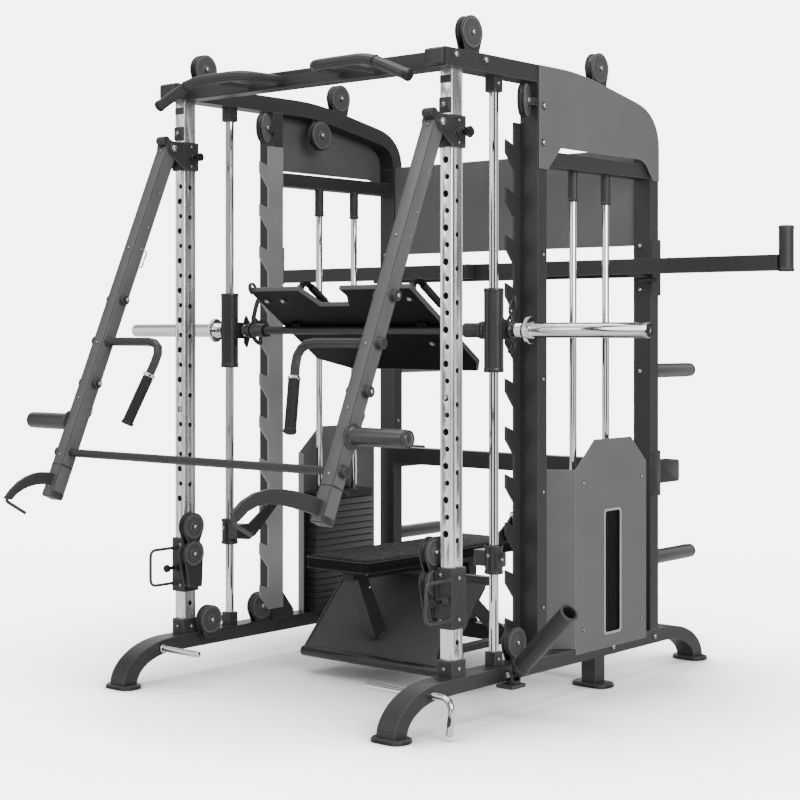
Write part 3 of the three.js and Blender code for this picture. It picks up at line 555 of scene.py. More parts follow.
def bolts(name, body, spots, place=None):
    """Bolt heads at each (point, axis, radius) in one piece, and the washers under them in another."""
    form, under = Form(place), Form(place)
    for point, axis, r in spots:
        form.turned(point, axis, dome(r), 16)
        under.turned(point, axis, washer(r), 20, ring=True)
    under.piece(f"{name}_washers", body, BLACK)
    form.piece(name, body, BOLT)


# --- pulleys ---
HALF = 11.6  # half of the gap in a pulley's fork
CHEEK = 3.6  # thickness of a fork plate


def grooved(r, half=10.2, hub=7.6):
    """Profile of a cable wheel: deep groove, rounded lips, dished faces with a raised hub."""
    side = [(hub, half), (18, half), (20, half - 3), (r - 13, half - 3), (r - 10.5, half), (r - 1.5, half)]
    groove = [(r, half - 1.4), (r - 1.2, half - 3.6), (r - 7.5, 2.2)]
    face = side + groove
    return face + [(a, -b) for a, b in reversed(face)]


def shallow(r):
    """Profile of a narrow wheel with a V groove."""
    return [(40, -9), (r - 1, -9), (r, -7.6), (r - 9, 0), (r, 7.6), (r - 1, 9), (40, 9)]


def cover_disc(r):
    """Profile of the pressed plate on the outside of a pulley: light rim, shallow dish, collar for the bolt."""
    return [(0, -0.5), (r, -0.5), (r, 1.2), (r - 1.2, 2.2), (r - 3.2, 2.2), (r - 4.6, 1.1), (17, 1.1),
            (15, 2.4), (11, 2.4), (0, 2.4)]


def pulley_covers(name, body, spots):
    """Pressed plates and bolts on both outsides of forks; spots are (centre, axis, radius, reach)."""
    plates, heads = Form(), []
    for centre, axis, r, reach in spots:
        for way in (1, -1):
            along = Vector(axis) * way
            outside = Vector(centre) + along * reach
            plates.turned(outside, along, cover_disc(r), 40)
            heads.append((outside + along * 2.6, along, 8.5))
    plates.piece(f"{name}_covers", body, GUARD)
    bolts(f"{name}_bolts", body, heads)


FORK_REACH = HALF + CHEEK
NARROW_REACH = 11.2
SWIVEL = Vector((math.cos(math.radians(25)), math.sin(math.radians(25)), 0))
fixed = []
wheels = Form()
for side, s in SIDES.items():
    swivel_spot = (s * 620 + 35, 396, 2063)
    inner_spot = (s * INNER_WHEEL[0], *INNER_WHEEL[1:])
    top_spot = (s * SIDE, *TOP_WHEEL)
    for spot, r in (((s * 574, 95, 206), 50), ((s * 611, 398, 216), 50), ((s * SIDE, 875, 2228), 52)):
        fixed.append((spot, X_AXIS, r - 1, FORK_REACH))
        wheels.turned(spot, X_AXIS, grooved(r + 3, HALF - 0.4, 9), 40, ring=True)
    fixed.append((top_spot, X_AXIS, 51, FORK_REACH))
    for spot, axis, r in ((inner_spot, X_AXIS, 54), (swivel_spot, SWIVEL, 55)):
        fixed.append((spot, axis, r, NARROW_REACH))
        wheels.turned(spot, axis, shallow(r + 5), 40, ring=True)
    upper, lower = (s * WHEEL_X, 4, 560), (s * WHEEL_X, 4, 460)
    spots = [(spot, X_AXIS, 44, FORK_REACH) for spot in (upper, lower)]
    pulley_covers(f"{side}_trolley_pulley", f"{side}_trolley", spots)
    for label, spot, r in (("top_wheel", top_spot, 54), ("trolley_upper_wheel", upper, 49),
                           ("trolley_lower_wheel", lower, 49)):
        node = f"{side}_{label}"
        wheel = Form().turned(spot, X_AXIS, grooved(r), 48, ring=True)
        wheel.piece(f"{node}_moulded", node, PLASTIC, hides=[node])
wheels.piece("fixed_pulley_wheels", "frame", PLASTIC)
pulley_covers("fixed_pulley", "frame", fixed)


# --- front uprights ---
WALL, HALF_WIDTH = 7.0, 25  # of the front uprights' tube
FOOT_Z, HEAD_Z = 158.3, 2129.7
PITCH, TOP_HOLE = 110, 1860
FIRST_HOLE = {"right": 622, "left": 659}  # phase of the front holes
RAISED_LOCK = {"right": 1062, "left": 989}  # pin of the trolley at its top stop


def drilled_upright(side, s):
    """A square tube with round holes in its walls, and small dark fittings at its top."""
    middle = s * SIDE
    tube = Form()
    tube.frame(around(middle, HALF_WIDTH, 0, DEPTH, 5, 3),
               around(middle, HALF_WIDTH - WALL, WALL, DEPTH - WALL, 2, 3), FOOT_Z, HEAD_Z)
    obj = tube.piece(f"{side}_front_upright_tube", "frame", STEEL, hides=[f"{side}_front_upright"])
    holes = Form()

    def drill(spot, axis, r):
        holes.turned(spot, axis, [(0, -6), (r, -6), (r, 6), (0, 6)], 20)

    for y in (2, DEPTH - 2):
        drill((middle, y, LOCK_Z), Y_AXIS, 8)
        for k in range(12):
            z = FIRST_HOLE[side] + k * PITCH
            if z < TOP_HOLE:
                drill((middle, y, z), Y_AXIS, 11.5)
            if z + PITCH / 2 < TOP_HOLE:
                drill((middle + 6, y, z + PITCH / 2), Y_AXIS, 9)
    for x in (middle - HALF_WIDTH + 2, middle + HALF_WIDTH - 2):
        for k in range(16):
            drill((x, DEPTH / 2, 270 + k * PITCH), X_AXIS, 9.5)
    tool = mesh_object("drill", holes.mesh)
    obj.modifiers.clear()
    cut = obj.modifiers.new("holes", "BOOLEAN")
    cut.object = tool
    cut.solver = "EXACT"
    bpy.context.view_layer.update()
    drilled = bpy.data.meshes.new_from_object(obj.evaluated_get(bpy.context.evaluated_depsgraph_get()))
    obj.modifiers.clear()
    obj.data = drilled
    bpy.data.objects.remove(tool)
    round_edges(obj, 1.1, "MITER_SHARP")
    finish_edges(obj)
    # painted shade: a near-black core behind the holes stands in for the shade inside the hollow tube; it is
    # open where the pins go in, with short rings that meet the tube
    core = around(middle, HALF_WIDTH - WALL - 1.2, WALL + 1.2, DEPTH - WALL - 1.2, 2, 3)
    ring = around(middle, HALF_WIDTH - WALL - 0.6, WALL + 0.6, DEPTH - WALL - 0.6, 2, 3)
    stops = [FOOT_Z + 1, LOCK_Z - 9, LOCK_Z + 9, RAISED_LOCK[side] - 9, RAISED_LOCK[side] + 9,
             COLLAR_Z - 10, COLLAR_Z + 10, HEAD_Z - 1]
    shade_core = Form()
    for low, high in zip(stops[::2], stops[1::2]):
        shade_core.slab(core, low, high)
    for z in (FOOT_Z + 2, 1000, 2000):
        shade_core.slab(ring, z, z + 30)
    shade_core.piece(f"{side}_upright_liner", "frame", PAINTED_SHADE_BLACK)
    band = Form().slab(around(middle, HALF_WIDTH - 2, 2081, 2106, 2), -1.2, 1.0, "Y")
    band.piece(f"{side}_upright_bands", "frame", BLACK, slot="black_plastic")
    plate = Form().slab(around(middle, HALF_WIDTH - 1, 1984, 2034, 4), -5, 1, "Y")
    plate.slab(around(middle, HALF_WIDTH - 7, 1992, 2026, 3), -6.2, -4, "Y")
    plate.piece(f"{side}_upright_stop", "frame", PAINT, 0.8)
    bolts(f"{side}_upright_bolts", "frame", [((middle - 2, -6, 2009), FORWARD, MIDDLE)])


for side, s in SIDES.items():
    drilled_upright(side, s)


# --- bolts, end caps and fittings of the frame ---
OUTSIDE, INSIDE, SHEET = 668.5, 593.5, 672.2  # faces of the side frames, and of the sheets on them
FORK_HOLES = ((5, 2170), (163, 2170))
LINER_HOLES = [(490, z) for z in (1541, 1113, 725, 329)]
heads = []
for s in SIDES.values():
    out, back = (s, 0, 0), (-s, 0, 0)
    for x, way, r, holes in (
            (OUTSIDE, out, 10, FORK_HOLES), (INSIDE, back, 10, FORK_HOLES),
            (OUTSIDE, out, 5, LINER_HOLES), (INSIDE, back, 5, LINER_HOLES),
            (SHEET, out, MIDDLE, ((489, 2052), (485, 1925))),
            (SHEET, out, 5, ((730, 220), (730, 740), (1110, 220), (1110, 740))),
            (INSIDE, back, SMALL, [(1208, z) for z in (1640, 1800, 1920, 900)]),
            (OUTSIDE, out, MIDDLE, ((1208, 133), (925, 133))),
            (652, out, SMALL, ((256, 2106), (256, 183))),
            (662, out, SMALL, ((DEPTH / 2, 186),)), (600, back, SMALL, ((DEPTH / 2, 186),))):
        heads += [((s * x, y, z), way, r) for y, z in holes]
    for z in (1597, 1435, 1127):
        heads += [((s * SIDE - 9, 1181, z), FORWARD, 8), ((s * SIDE + 9, 1235, z - 60), Y_AXIS, 8)]
    heads.append(((s * SIDE, -8, 186), FORWARD, SMALL))
bolts("frame_bolts", "frame", heads)

caps, rims, guides, feet, soles, pegs = (Form() for _ in range(6))
for s in SIDES.values():
    middle = s * SIDE
    # moulded cap on the front end of the top beam, with a seam behind it
    cap = [(-66, 2138), (-62, 2134), (-47, 2131), (-47, 2189), (-62, 2186), (-66, 2182)]
    caps.slab(cap, middle - 36.5, middle + 36.5, "X")
    rims.frame(around(middle, 38.1, 2129.4, 2190.6, 4), around(middle, 35.5, 2132, 2188, 3), -46.5, -44, "Y")
    # seam of the base rail behind the front upright
    rims.frame(around(middle, 38.4, 107, 158.8, 3), around(middle, 34, 111, 155, 2), 90, 94, "Y")
    for y in (745, 955):
        guides.turned((s * 617, y, 590), Z_AXIS, [(0, 0), (13, 0), (13, 1157), (0, 1157)], 24)
        rims.turned((s * 617, y, 1741), Z_AXIS, [(13, 0), (19, 0), (19.6, 2), (19.6, 7), (18, 9), (13, 9)], 20,
                    ring=True)
    for y, half_x, half_y in ((-270, 64, 44), (1526, 64, 44), (851, 74, 46)):
        feet.slab(around(middle, half_x, y - half_y, y + half_y, 40, 8), 6, 15)
        soles.slab(around(middle, half_x + 2, y - half_y - 2, y + half_y + 2, 42, 8), 0.2, 7.4)
    # collar round the foot of the front upright and round both ends of the guide rod
    rims.frame(around(middle, 33, -8, 68, 6), around(middle, 26, -1, 61, 4), 206, 213)
    for z0, z1 in ((200, 207), (2078, 2085)):
        rims.frame(around(middle, 23, 235, 281, 6), around(middle, 18, 240, 276, 5), z0, z1)
        rims.turned((middle, ROD_Y, z0), Z_AXIS, [(16.4, -2), (22, -2), (22, 6), (16.4, 6)], 24, ring=True)
    pegs.turned((s * 590, -132 if s > 0 else -118, 124), (-s, 0, 0), [
        (0, 0), (15, 0), (15, 3), (11.2, 5), (11, 184), (10, 188), (7, 190), (0, 190.5)], 28)
# storage hook on the right: out, round a quarter turn and down
bend = [math.radians(a) for a in range(10, 91, 10)]
bent = [(668, -132, 128), (700, -132, 128), (724, -132, 128)]
bent += [(726 + 38 * math.sin(a), -132 - 12 * a / math.pi, 90 + 38 * math.cos(a)) for a in bend]
bent += [(764, -140.5, 60), (764, -150, 17)]
pegs.swept(bent, 11, 20)
pegs.piece("chrome_pegs", "frame", CHROME, 1.0)
caps.piece("beam_end_caps", "frame", PAINT, 5.0)
rims.piece("frame_collars", "frame", BLACK, 0.8, "black_plastic")
guides.piece("stack_guide_rods", "frame", CHROME, 1.0)
feet.piece("foot_plates", "frame", PAINT, 1.6)
soles.piece("foot_soles", "frame", RUBBER, 1.2)

# storage horns: rounded ends and a base ring; hook plate; keeper block under the side bar
horn, plates, tips = Form(), Form(), Form()
for s in SIDES.values():
    middle = s * SIDE
    for z in (1128, 422):
        horn.turned((middle, 1236, z), Y_AXIS, [
            (0, -2), (38, -2), (38, 5), (34, 7), (27.5, 7.5), (27, 20), (26.8, 270), (25, 282), (19, 291),
            (10, 295), (0, 296)], 32)
    for x in (middle + 24, middle - 28):
        plates.slab(rounded_box(1236, 1403, 703, 787, 12), x, x + 4, "X")
    plates.slab(rounded_box(1184, 1246, 660, 830, 6), s * 668.4, s * 672, "X")
# plug in each end of the pull-up grips, and a ring past each bend
for bend, end in (((446, -172, 2160), (630, -182, 2084)), ((-370, -172, 2160), (-542, -182, 2084))):
    way = (Vector(end) - Vector(bend)).normalized()
    tips.turned(Vector(end) - way * 14, way, [
        (18, 0), (19.8, 0), (20.4, 1.5), (20.4, 13), (17, 16), (12, 15), (0, 14.5)], 28)
    tips.turned(Vector(bend) + way * 34, way, [
        (18.4, 0), (20, 0), (20.6, 1.5), (20.6, 5), (20, 6.5), (18.4, 6.5)], 28, ring=True)
tips.piece("grip_end_plugs", "frame", PLASTIC)
horn.piece("storage_horns", "frame", HORN, 0.8)
plates.piece("bar_hook_plates", "frame", PAINT, 1.0)

# shroud slot: rounded light rim, and black slats inside with a plate behind them, in the near-black that paints
# the shade in the slot
rim, slats = Form(), Form()
for s in SIDES.values():
    rim.frame(rounded_box(860, 973, 184, 638, 14), rounded_box(869, 964, 193, 629, 10),
              s * 671.5, s * 674.2, "X")
    for k in range(7):
        y = 871 + k * 13.4
        slats.slab(rounded_box(y, y + 10, 186, 636, 3, 2), s * 660, s * 668, "X")
    slats.slab(rounded_box(862, 972, 184, 638, 6), s * 654, s * 661, "X")
rim.piece("shroud_slot_rims", "frame", PANEL_LIGHT, 0.8)
slats.piece("shroud_slats", "frame", PAINTED_SHADE_BLACK, 1.0)


# --- smith bar and its bearings ---
couplings, collars, flanges, sleeves, guards, hooks = (Form() for _ in range(6))
clamps = []
for s in SIDES.values():
    out = (s, 0, 0)
    middle = s * SIDE
    ribbed = [(0, 0)]
    for k in range(9):
        u = k * 7.0
        ribbed += [(23.4, u), (25.4, u + 1.4), (25.4, u + 4.6), (23.4, u + 6)]
    couplings.turned((s * 480, BAR_Y, BAR_Z), out, ribbed + [(0, 63)], 28)
    collars.turned((s * 546, BAR_Y, BAR_Z), out, [
        (0, 0), (29, 0), (30.5, 2), (30.5, 12), (27, 15), (27, 24), (0, 24)], 28)
    collars.turned((s * 665, BAR_Y, BAR_Z), out, [
        (0, 0), (25, 0), (26, 1.5), (26, 16), (22.5, 19), (20, 40), (0, 40)], 28)
    # knurled sleeve stop, two-lobed flange and the sleeve with its end plug
    flanges.turned((s * 700, BAR_Y, BAR_Z), out, [
        (0, 0), (24, 0), (26, 3), (24, 7), (26, 11), (24, 15), (26, 19), (24, 23), (26, 28), (30, 34),
        (31, 42), (0, 42)], 32)
    for lift in (17, -17):
        flanges.turned((s * 742, BAR_Y, BAR_Z + lift), out, [
            (0, 0), (27, 0), (29, 2.5), (29, 12), (27, 14.5), (0, 14.5)], 32)
    sleeves.turned((s * 756, BAR_Y, BAR_Z), out, [
        (0, 0), (27.5, 0), (27.5, 8), (25.6, 10), (25.4, 446), (25.4, 448), (24, 449.2), (25.4, 450.4),
        (25.4, 455), (22.5, 457.6), (8, 457.6), (7, 455.5), (0, 455.5)], 40)
    # end rings and side plates of the bearing
    for z in (1140, 1406):
        guards.turned((middle, ROD_Y, z), Z_AXIS, [
            (17, 0), (33.0, 0), (33.8, 1.5), (33.8, 14.5), (33.0, 16), (17, 16)], 32, ring=True)
    for x in (middle + 32, middle - 36):
        guards.slab(rounded_box(246, 330, 1250, 1312, 8), x, x + 4, "X")
    clamps += [((s * 667, 300, z), out, 4) for z in (1262, 1300)]
couplings.piece("bar_couplings", "smith_bar", BLACK)
collars.piece("bar_collars", "smith_bar", BLACK)
flanges.piece("bar_flanges", "smith_bar", CHROME)
sleeves.piece("bar_sleeves", "smith_bar", CHROME)

centre = Form().turned((-484, BAR_Y, BAR_Z), X_AXIS, [
    (0, 0), (15, 0), (15, 30), (14.7, 31), (14.7, 937), (15, 938), (15, 968), (0, 968)], 28)
centre.piece("bar_centre", "smith_bar", BLACK)
guards.piece("bearing_guards", "smith_carriage", BLACK, 1.0)
bolts("bearing_screws", "smith_carriage", clamps)

# catch plates, twisted latch wires at the right bearing, and the bracket at the left one
LATCH = [(290, 1262), (318, 1252), (352, 1262), (372, 1290), (366, 1322), (340, 1340), (336, 1326), (348, 1306),
         (346, 1288), (328, 1274), (300, 1280)]
for x in (585, -595):
    hooks.slab(LATCH, x, x + 10, "X")
for start in (0, math.pi):
    angles = [start + k * 0.75 for k in range(9)]
    twist = [(642 + 9 * math.sin(angle), 322 + 5 * k + 9 * math.cos(angle), 1284 + 14 * k)
             for k, angle in enumerate(angles)]
    hooks.swept(smooth_path(twist, 4), 5.5, 12)
tail = [(642, 318, 1262), (648, 344, 1242), (640, 356, 1222), (636, 340, 1206)]
leaf = [(-594, 1232), (-580, 1216), (-570, 1240), (-562, 1276), (-566, 1310), (-584, 1338), (-594, 1322)]
strap = [(-566, 300, 1262), (-548, 298, 1290), (-536, 294, 1336), (-512, 286, 1384), (-492, 280, 1398)]
curl = [(-556, 302, 1266), (-546, 316, 1240), (-528, 320, 1232), (-520, 312, 1252)]
hooks.swept(smooth_path(tail, 5), 9, 12)
hooks.slab(leaf, 296, 304, "Y")
hooks.swept(smooth_path(strap, 6), 11, 14, flat=0.6)
hooks.swept(smooth_path(curl, 5), 8, 12)
hooks.piece("bar_latches", "smith_bar", BLACK, 1.0)

# safety stops: end ring, clamp bolts and a polished roller at the tip of the hook
for side, s in SIDES.items():
    out = (s, 0, 0)
    body = f"{side}_safety_stop"
    ring = Form()
    for z in (467, 552):
        ring.turned((s * SIDE, ROD_Y, z), Z_AXIS, [
            (17, 0), (31.4, 0), (32, 1.5), (32, 8.5), (31.4, 10), (17, 10)], 32, ring=True)
    ring.slab(rounded_box(236, 286, 490, 540, 8), s * SIDE + 26, s * SIDE + 31, "X")
    ring.piece(f"{side}_stop_rings", body, BLACK, 0.8)
    roller = Form().turned((s * 562, 452, 640), out, [
        (0, 0), (13, 0), (16, 2), (17, 5), (17, 13), (16, 16), (13, 18), (0, 18)], 28)
    roller.piece(f"{side}_stop_roller", body, CHROME)
    spots = [((s * SIDE, 227, 530), FORWARD, SMALL), ((s * 662, 262, 515), out, SMALL)]
    bolts(f"{side}_stop_bolts", body, spots)


# --- lever arms ---
LEAN = math.radians(23.2)
ARM_PIN = (-58, 1948)  # y and z of the arms' hinge
RIBS = 24


def post_lips(middle, bottoms):
    """Raised bands round a sleeve on a front upright."""
    form = Form()
    for z in bottoms:
        form.frame(around(middle, 33.5, -8.5, 68.5, 7), around(middle, 30, -5, 65, 5), z, z + 9.5)
    return form


for side, s in SIDES.items():
    out, back = (s, 0, 0), (-s, 0, 0)
    middle = s * SIDE
    place = machine(middle, *ARM_PIN, -LEAN)
    # ribbed rubber grip on the slanting run of the handle
    start, stop = Vector((-s * 317, 0, -769)), Vector((-s * 247, 12, -1067))
    along = (stop - start).normalized()
    length = (stop - start).length
    grip_from = 134

    def run(u):
        return start + along * u

    ribs, sizes = [run(grip_from - 3), run(grip_from)], [15.8, 19.2]
    step = (length - grip_from - 8) / RIBS
    for k in range(RIBS):
        u = grip_from + k * step
        for part, r in ((0.12, 19.6), (0.6, 19.6), (0.74, 18.2), (0.98, 18.2)):
            ribs.append(run(u + part * step))
            sizes.append(r)
    grip = Form(place).swept(ribs, sizes, 20)
    grip.turned(run(length - 9), along, [
        (0, 0), (20.5, 0), (21.5, 2), (21.5, 8), (19, 11), (12, 12.5), (0, 12.5)], 24)
    grip.piece(f"{side}_handle_grip", "lever_arms", RUBBER)
    ring = Form(place).turned(run(grip_from - 14), along, [
        (15, 0), (20, 0), (21, 1.2), (21, 9), (20, 10.5), (15, 10.5)], 28, ring=True)
    ring.piece(f"{side}_handle_ring", "lever_arms", CHROME)
    # plate horn: round-ended sleeve with a base flange
    horn = Form(place).turned((s * 25, 0, -1074), out, [
        (0, -1), (40, -1), (41, 1), (41, 6), (39, 8), (33, 9), (31, 14), (29, 17), (28.8, 206), (27, 216),
        (20, 223), (10, 225.5), (0, 226)], 36)
    horn.piece(f"{side}_arm_horn", "lever_arms", HORN)
    # the arm tube takes the paler arm paint, painted light
    tube = Form(place).slab(around(0, 25.7, -26.7, 26.7, 6, 4), -1350, -8)
    tube.piece(f"{side}_arm_tube", "lever_arms", ARM, 1.0)
    bosses = Form(place)
    tall = [(0, -1), (22, -1), (22, 3), (19, 4.5), (18.6, 21), (17, 23), (12, 23), (11, 20), (0, 20)]
    low = [(0, -1), (21, -1), (21, 3), (18, 4.5), (17.6, 15), (16, 17), (11, 17), (10, 14.5), (0, 14.5)]
    for d, y in ((607, 4), (927, 4), (769, 0), (1187, 0)):
        bosses.turned((s * 25, y, -d), out, tall, 28)
        if d < 1187:
            bosses.turned((-s * 25, y, -d), back, low, 28)
    # rounded cap on the low end, a lug on the high end
    cap = [(-26.6, -1330), (-26.6, -1349), (-22, -1354), (22, -1354), (26.6, -1349), (26.6, -1330)]
    bosses.slab(cap, -25.8, 25.8, "X")
    bosses.slab(around(0, 27, -1243, -1234, 3, 2), -25.8, 25.8, "X")
    bosses.piece(f"{side}_arm_bosses", "lever_arms", PAINT, 0.8)
    front = [((0, -26.5, -d), FORWARD, 4.5) for d in (22, 414, 783, 993, 1203, 1318)]
    across = [((way * 25.5, 8, -d), (way, 0, 0), 3) for d in (180, 318, 405) for way in (1, -1)]
    across += [((way * 47, 4, -d), (way, 0, 0), 7) for d in (607, 927) for way in (1, -1)]
    bolts(f"{side}_arm_bolts", "lever_arms", front + across, place)
    # wire clips in the holes of the arm
    for label, wire in (
            ("spring", ((-26, 20, -400), (-30, 34, -410), (-22, 38, -440), (-30, 34, -462), (-26, 20, -470))),
            ("clip", ((10, 27, -980), (10, 44, -990), (2, 50, -1020), (12, 46, -1048), (4, 30, -1056)))):
        path = smooth_path([(s * x, y, z) for x, y, z in wire], 5)
        Form(place).swept(path, 3.0, 8, up=X_AXIS).piece(f"{side}_arm_{label}", "lever_arms", BOLT)
    # collar on the front upright
    body = "arm_carriage"
    fittings = [((middle + 31, *ARM_PIN), X_AXIS, BIG), ((middle - 31, *ARM_PIN), (-1, 0, 0), BIG)]
    fittings += [((middle + way * 31.5, DEPTH / 2, z), (way, 0, 0), 4.5)
                 for way in (1, -1) for z in (1888, 1960)]
    bolts(f"{side}_collar_bolts", body, fittings)
    lip = post_lips(middle, (1872.5, 1967))
    lip.turned((s * 657, DEPTH / 2, COLLAR_Z), out, [
        (14, 0), (21, 0), (21, 3), (17, 6), (16.4, 17), (14, 18)], 24, ring=True)
    lip.piece(f"{side}_collar_lips", body, PAINT, 0.8)
    # lobed knob on the spring pin, clear of the collar when it is pushed in
    knob = Form()
    for k in range(5):
        angle = FULL * k / 5
        knob.turned((s * 699, DEPTH / 2 + 11 * math.cos(angle), COLLAR_Z + 11 * math.sin(angle)), out, [
            (0, 0), (7.5, 0), (8.5, 2), (8.5, 10), (6.5, 13), (0, 13.5)], 16)
    knob.turned((s * 696, DEPTH / 2, COLLAR_Z), out, [
        (0, 0), (8, 0), (12, 4), (12, 15), (9, 18), (0, 18.5)], 24)
    knob.piece(f"{side}_collar_knob", f"{side}_collar_pin", PLASTIC, 0.6)


# --- trolleys ---
for side, s in SIDES.items():
    out = (s, 0, 0)
    middle = s * SIDE
    body = f"{side}_trolley"
    lip = post_lips(middle, (315.5, 503))
    for z in (475, 345):
        lip.turned((s * 650, -6, z), FORWARD, [(0, -1), (12, -1), (12, 2), (8, 5), (7, 14), (0, 14)], 20)
    lip.turned((middle, -6, LOCK_Z), FORWARD, [
        (6.6, 0), (17, 0), (17, 3), (13, 6), (12.6, 22), (6.6, 22)], 24, ring=True)
    lip.piece(f"{side}_trolley_lips", body, PAINT, 0.8)
    spots = [((middle - s * 14, -7, z), FORWARD, 6) for z in (340, 490)]
    spots += [((s * 662.4, DEPTH / 2, z), out, 6) for z in (345, 480)]
    bolts(f"{side}_trolley_bolts", body, spots)
    knob = Form().turned((middle, -54, LOCK_Z), FORWARD, [
        (6, 0), (10, 0), (13.5, 3), (14.5, 7), (13.5, 14), (10, 17.5), (0, 18.5)], 28)
    knob.turned((middle, -54, LOCK_Z), FORWARD, [(0, -1), (9, -1), (9, 0.5), (0, 0.5)], 20)
    knob.piece(f"{side}_trolley_knob", f"{side}_trolley_pin", PLASTIC)


# --- leg press plate ---
SLOPE = math.radians(34.6)
PRESS = machine(0, 118, 1424, -SLOPE)
W, L = 381, 505  # half width and length
outline = [(-W, 0), (-140, 0), (-104, 98), (34, 98), (68, 40), (60, 0), (W, 0), (W, L - 50), (W - 35, L),
           (130 - W, L), (-W, L - 65)]
edge = Form(PRESS)
for a, b in zip(outline, outline[1:] + outline[:1]):
    edge.swept([(*a, 8), (*b, 8)], 9.2, 10, flat=0.55)
edge.piece("press_rim", "smith_bar", LIP)
pads = Form(PRESS)
for x0, x1 in ((-W + 22, -150), (78, W - 22)):
    pads.slab(rounded_box(x0, x1, 26, L - 92, 18), 14.5, 18.5)
pads.piece("press_treads", "smith_bar", TREAD, 1.2)
spots = [((x, y, -1), (0, 0, -1), MIDDLE) for x in (-340, -260, 260, 340) for y in (60, 330)]
bolts("press_bolts", "smith_bar", spots, PRESS)
strap = [(6, 26, 12), (2, 14, 26), (4, -8, 30), (12, -22, 14), (22, -20, -6), (26, -4, -14)]
loop = Form(PRESS).swept(smooth_path([(x - W, y, z) for x, y, z in strap], 6), 7.5, 12, up=X_AXIS, flat=0.4)
loop.piece("press_strap", "smith_bar", PLASTIC)
ends = Form(PRESS)
for x, u0, u1 in ((-158, 22, 200), (366, 22, 230)):
    for u in (u0, u1):
        ends.turned((x, u, 14), Z_AXIS, [(0, 0), (19, 0), (19, 3), (15, 6), (13.4, 16), (0, 16)], 24)
    ends.swept([(x, u0 + 44 + k * (u1 - u0 - 88) / 16, 62) for k in range(17)],
               [14.5 if k % 2 else 13.4 for k in range(17)], 20, up=X_AXIS)
ends.piece("press_grab_sleeves", "smith_bar", RUBBER)


# --- row foot plate, seat and cross tubes ---
lip = Form().swept([(-333, 353, 82), (333, 353, 82)], 19, 28)
lip.block(-331, 331, 612, 645, 383, 389)
lip.piece("foot_plate_lip", "frame", BLACK, 1.5)
climb = math.atan2(279, 257)
rest = Form(machine(0, 348, 83, climb))
for x in (-331, 331):
    rest.slab(rounded_box(x - 3, x + 3, 8, 372, 2, 2), -7, 6)
rest.slab(rounded_box(-62, 2, 96, 122, 4), 4.6, 9)
rest.piece("foot_plate_flanges", "frame", FOOT_GREY, 1.0)
seat_bolts = [((s * 26, y, 405), (s, 0, 0), 6) for s in (1, -1) for y in (300, 620, 860)]
seat_bolts += [((s * 27 - 30, 352, 350), (s, 0, 0), 6) for s in (1, -1)]
bolts("seat_bolts", "frame", seat_bolts)
cap = Form()
for y in (233, 1008):
    cap.slab(around(0, 28, 386.5, 423, 7), y, y + 7, "Y")
cap.frame(around(0, 31, 897, 953, 6), around(0, 26.4, 901.6, 948.4, 4), 158, 166)
cap.piece("seat_frame_caps", "frame", PLASTIC, 1.5)


CORNER = 30  # radius of the cushion's corners
CHANNELS = (-0.42, 0.3)  # sewn channels, as shares of its half length
# share of the side wall's height, and how far the wall stands out there
WALL_LEVELS = ((0.22, 0.0), (0.3, -1.6), (0.38, 0.6), (0.6, 1.6), (0.8, 0.8), (0.88, -1.4))


def seat_cushion():
    """Crowned bench pad with two sewn channels across and a side wall that bulges between its seams."""
    (x0, y0, z0), (x1, y1, z1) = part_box("seat_pad")
    across, along = 26, 84
    form = Form()
    half_x, half_y = (x1 - x0) / 2, (y1 - y0) / 2
    cx, cy = (x0 + x1) / 2, (y0 + y1) / 2

    def rounded(u, v):
        """Moves a point of the unit square onto a rectangle with round corners."""
        x, y = u * half_x, v * half_y
        over_x = max(0, abs(x) - half_x + CORNER * MM)
        over_y = max(0, abs(y) - half_y + CORNER * MM)
        if over_x and over_y:
            inward = 1 - max(over_x, over_y) / math.hypot(over_x, over_y)
            x -= math.copysign(over_x * inward, x)
            y -= math.copysign(over_y * inward, y)
        return x, y

    def spot(u, v, upper):
        x, y = rounded(u, v)
        rim_distance = min((1 - abs(u)) * half_x, (1 - abs(v)) * half_y)
        crown = math.sin(min(1.0, rim_distance / (20 * MM)) * math.pi / 2)
        z = z0 + 5 * MM * (1 - crown)
        if upper:
            z = z1 - 11 * MM + 8 * MM * crown + 3 * MM * (1 - u * u) * (1 - v ** 4)
            for seam in CHANNELS:
                z -= 4 * MM * math.exp(-((v - seam) * half_y / (4 * MM)) ** 2) * crown
        return form.mesh.verts.new((cx + x, cy + y, z))

    top, bottom = ([[spot(2 * i / across - 1, 2 * j / along - 1, upper) for i in range(across + 1)]
                    for j in range(along + 1)] for upper in (True, False))
    for rows in (top, bottom):
        for a, b in zip(rows, rows[1:]):
            for i in range(across):
                form.mesh.faces.new((a[i], a[i + 1], b[i + 1], b[i]))

    def rim(rows):
        return rows[0] + [row[-1] for row in rows[1:]] + rows[-1][-2::-1] + [row[0] for row in rows[-2:0:-1]]

    def share_of(place, middle, half):
        return max(-1, min(1, (place - middle) / half))

    lower, upper = rim(bottom), rim(top)
    rings = [lower]
    for share, bulge in WALL_LEVELS:
        ring = []
        for a, b in zip(lower, upper):
            point = a.co.lerp(b.co, share)
            reach = Vector((share_of(point.x, cx, half_x) ** 7, share_of(point.y, cy, half_y) ** 7, 0))
            if reach.length > 0:
                point = point + reach.normalized() * bulge * MM
            ring.append(form.mesh.verts.new(point))
        rings.append(ring)
    rings.append(upper)
    form.skin(rings, False)
    obj = mesh_object("seat_cushion", form.mesh)
    obj.data.materials.append(LEATHER)
    obj.data.shade_smooth()
    smooth = obj.modifiers.new("skin", "SUBSURF")
    smooth.levels = 1
    smooth.render_levels = 1
    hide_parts("seat_pad")
    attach(obj, "frame")


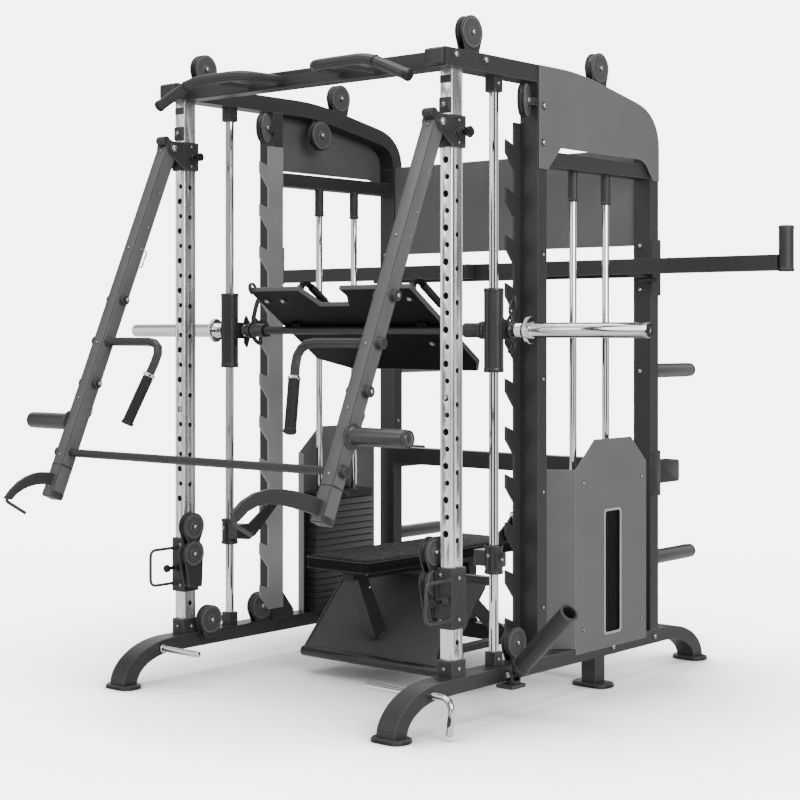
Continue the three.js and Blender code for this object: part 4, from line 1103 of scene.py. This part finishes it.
seat_cushion()
SEAT_Z = 424
for level in (7, 43):
    ring = Form()
    ring.frame(around(0, 153.4, 161.6, 1073.4, 31, 8), around(0, 149.5, 165.5, 1069.5, 28, 8),
               SEAT_Z + level - 1.8, SEAT_Z + level + 1.8)
    ring.piece(f"seat_piping_{level}", "frame", PIPING, 1.6)

# moulded ends and knob of each side bar, and the lever beside it
for side, s in SIDES.items():
    ends = Form()
    ends.slab(rounded_box(1122.6, 1181.4, 1490.6, 1549.4, 8), s * 161, s * 172, "X")
    ends.turned((s * 1242, 1152, 1489), Z_AXIS, [
        (0, -1), (27, -1), (28, 1.5), (28, 9), (26.6, 11), (26.6, 148), (28, 150), (28, 157), (24, 161),
        (0, 162)], 36)
    ends.turned((s * 196, 1097, 1519), FORWARD, [(0, -2), (15, -2), (17, 0), (17, 6), (13, 10), (0, 11)], 24)
    ends.piece(f"{side}_bar_ends", f"{side}_side_bar", PAINT, 1.2)
    lever = Form().swept([(s * (640 + k * 4), 1150, 1470 - abs(k - 10) * 0.3) for k in range(21)], 7, 12)
    lever.piece(f"{side}_bar_lever", "frame", PAINT)

# rings and pivot bolts of the landmine tube
YAW, LIFT = math.radians(-14), math.radians(41)
yoke = machine(*YOKE, YAW, "Z")
tube = Form(yoke @ Matrix.Rotation(math.pi / 2 - LIFT, 4, "Y"))
tube.turned((0, 0, 0), Z_AXIS, [
    (24, 362), (31.4, 362), (32, 364), (32, 370.5), (30, 372), (24, 372)], 40, ring=True)
tube.turned((0, 0, 0), Z_AXIS, [(0, 44), (31.6, 44), (33, 46), (33, 60), (31.6, 62), (0, 62)], 36)
tube.piece("landmine_tube_rings", "landmine_tube", PAINT)
spots = [((0, way * 20, 0), (0, way, 0), 12) for way in (1, -1)]
bolts("landmine_pivot_bolts", "landmine_yoke", spots, yoke)

# weight stacks: a lifting block, and a face on each plate with thin gaps between them
for side, s in SIDES.items():
    top = Form().turned((s * 571, 850, 617), (-s, 0, 0), [
        (0, -2), (12, -2), (12, 3), (9, 6), (9, 14), (0, 14)], 20)
    top.block(s * 617 - 15, s * 617 + 15, 828, 872, 633, 640)
    top.piece(f"{side}_stack_head", f"{side}_stack_top_plate", BLACK, 1.0)
    faces = Form()
    for k in range(PLATES):
        z = STACK_Z + PLATE_PITCH * k
        faces.slab(rounded_box(677, 1020, z + 1, z + 22.5, 3, 2), s * 572.5, s * 569.6, "X")
        faces.slab(rounded_box(*sorted((s * 573, s * 651)), z + 1, z + 22.5, 3, 2), 673.4, 676.6, "Y")
    faces.piece(f"{side}_stack_edges", "frame", EDGE, 0.4)
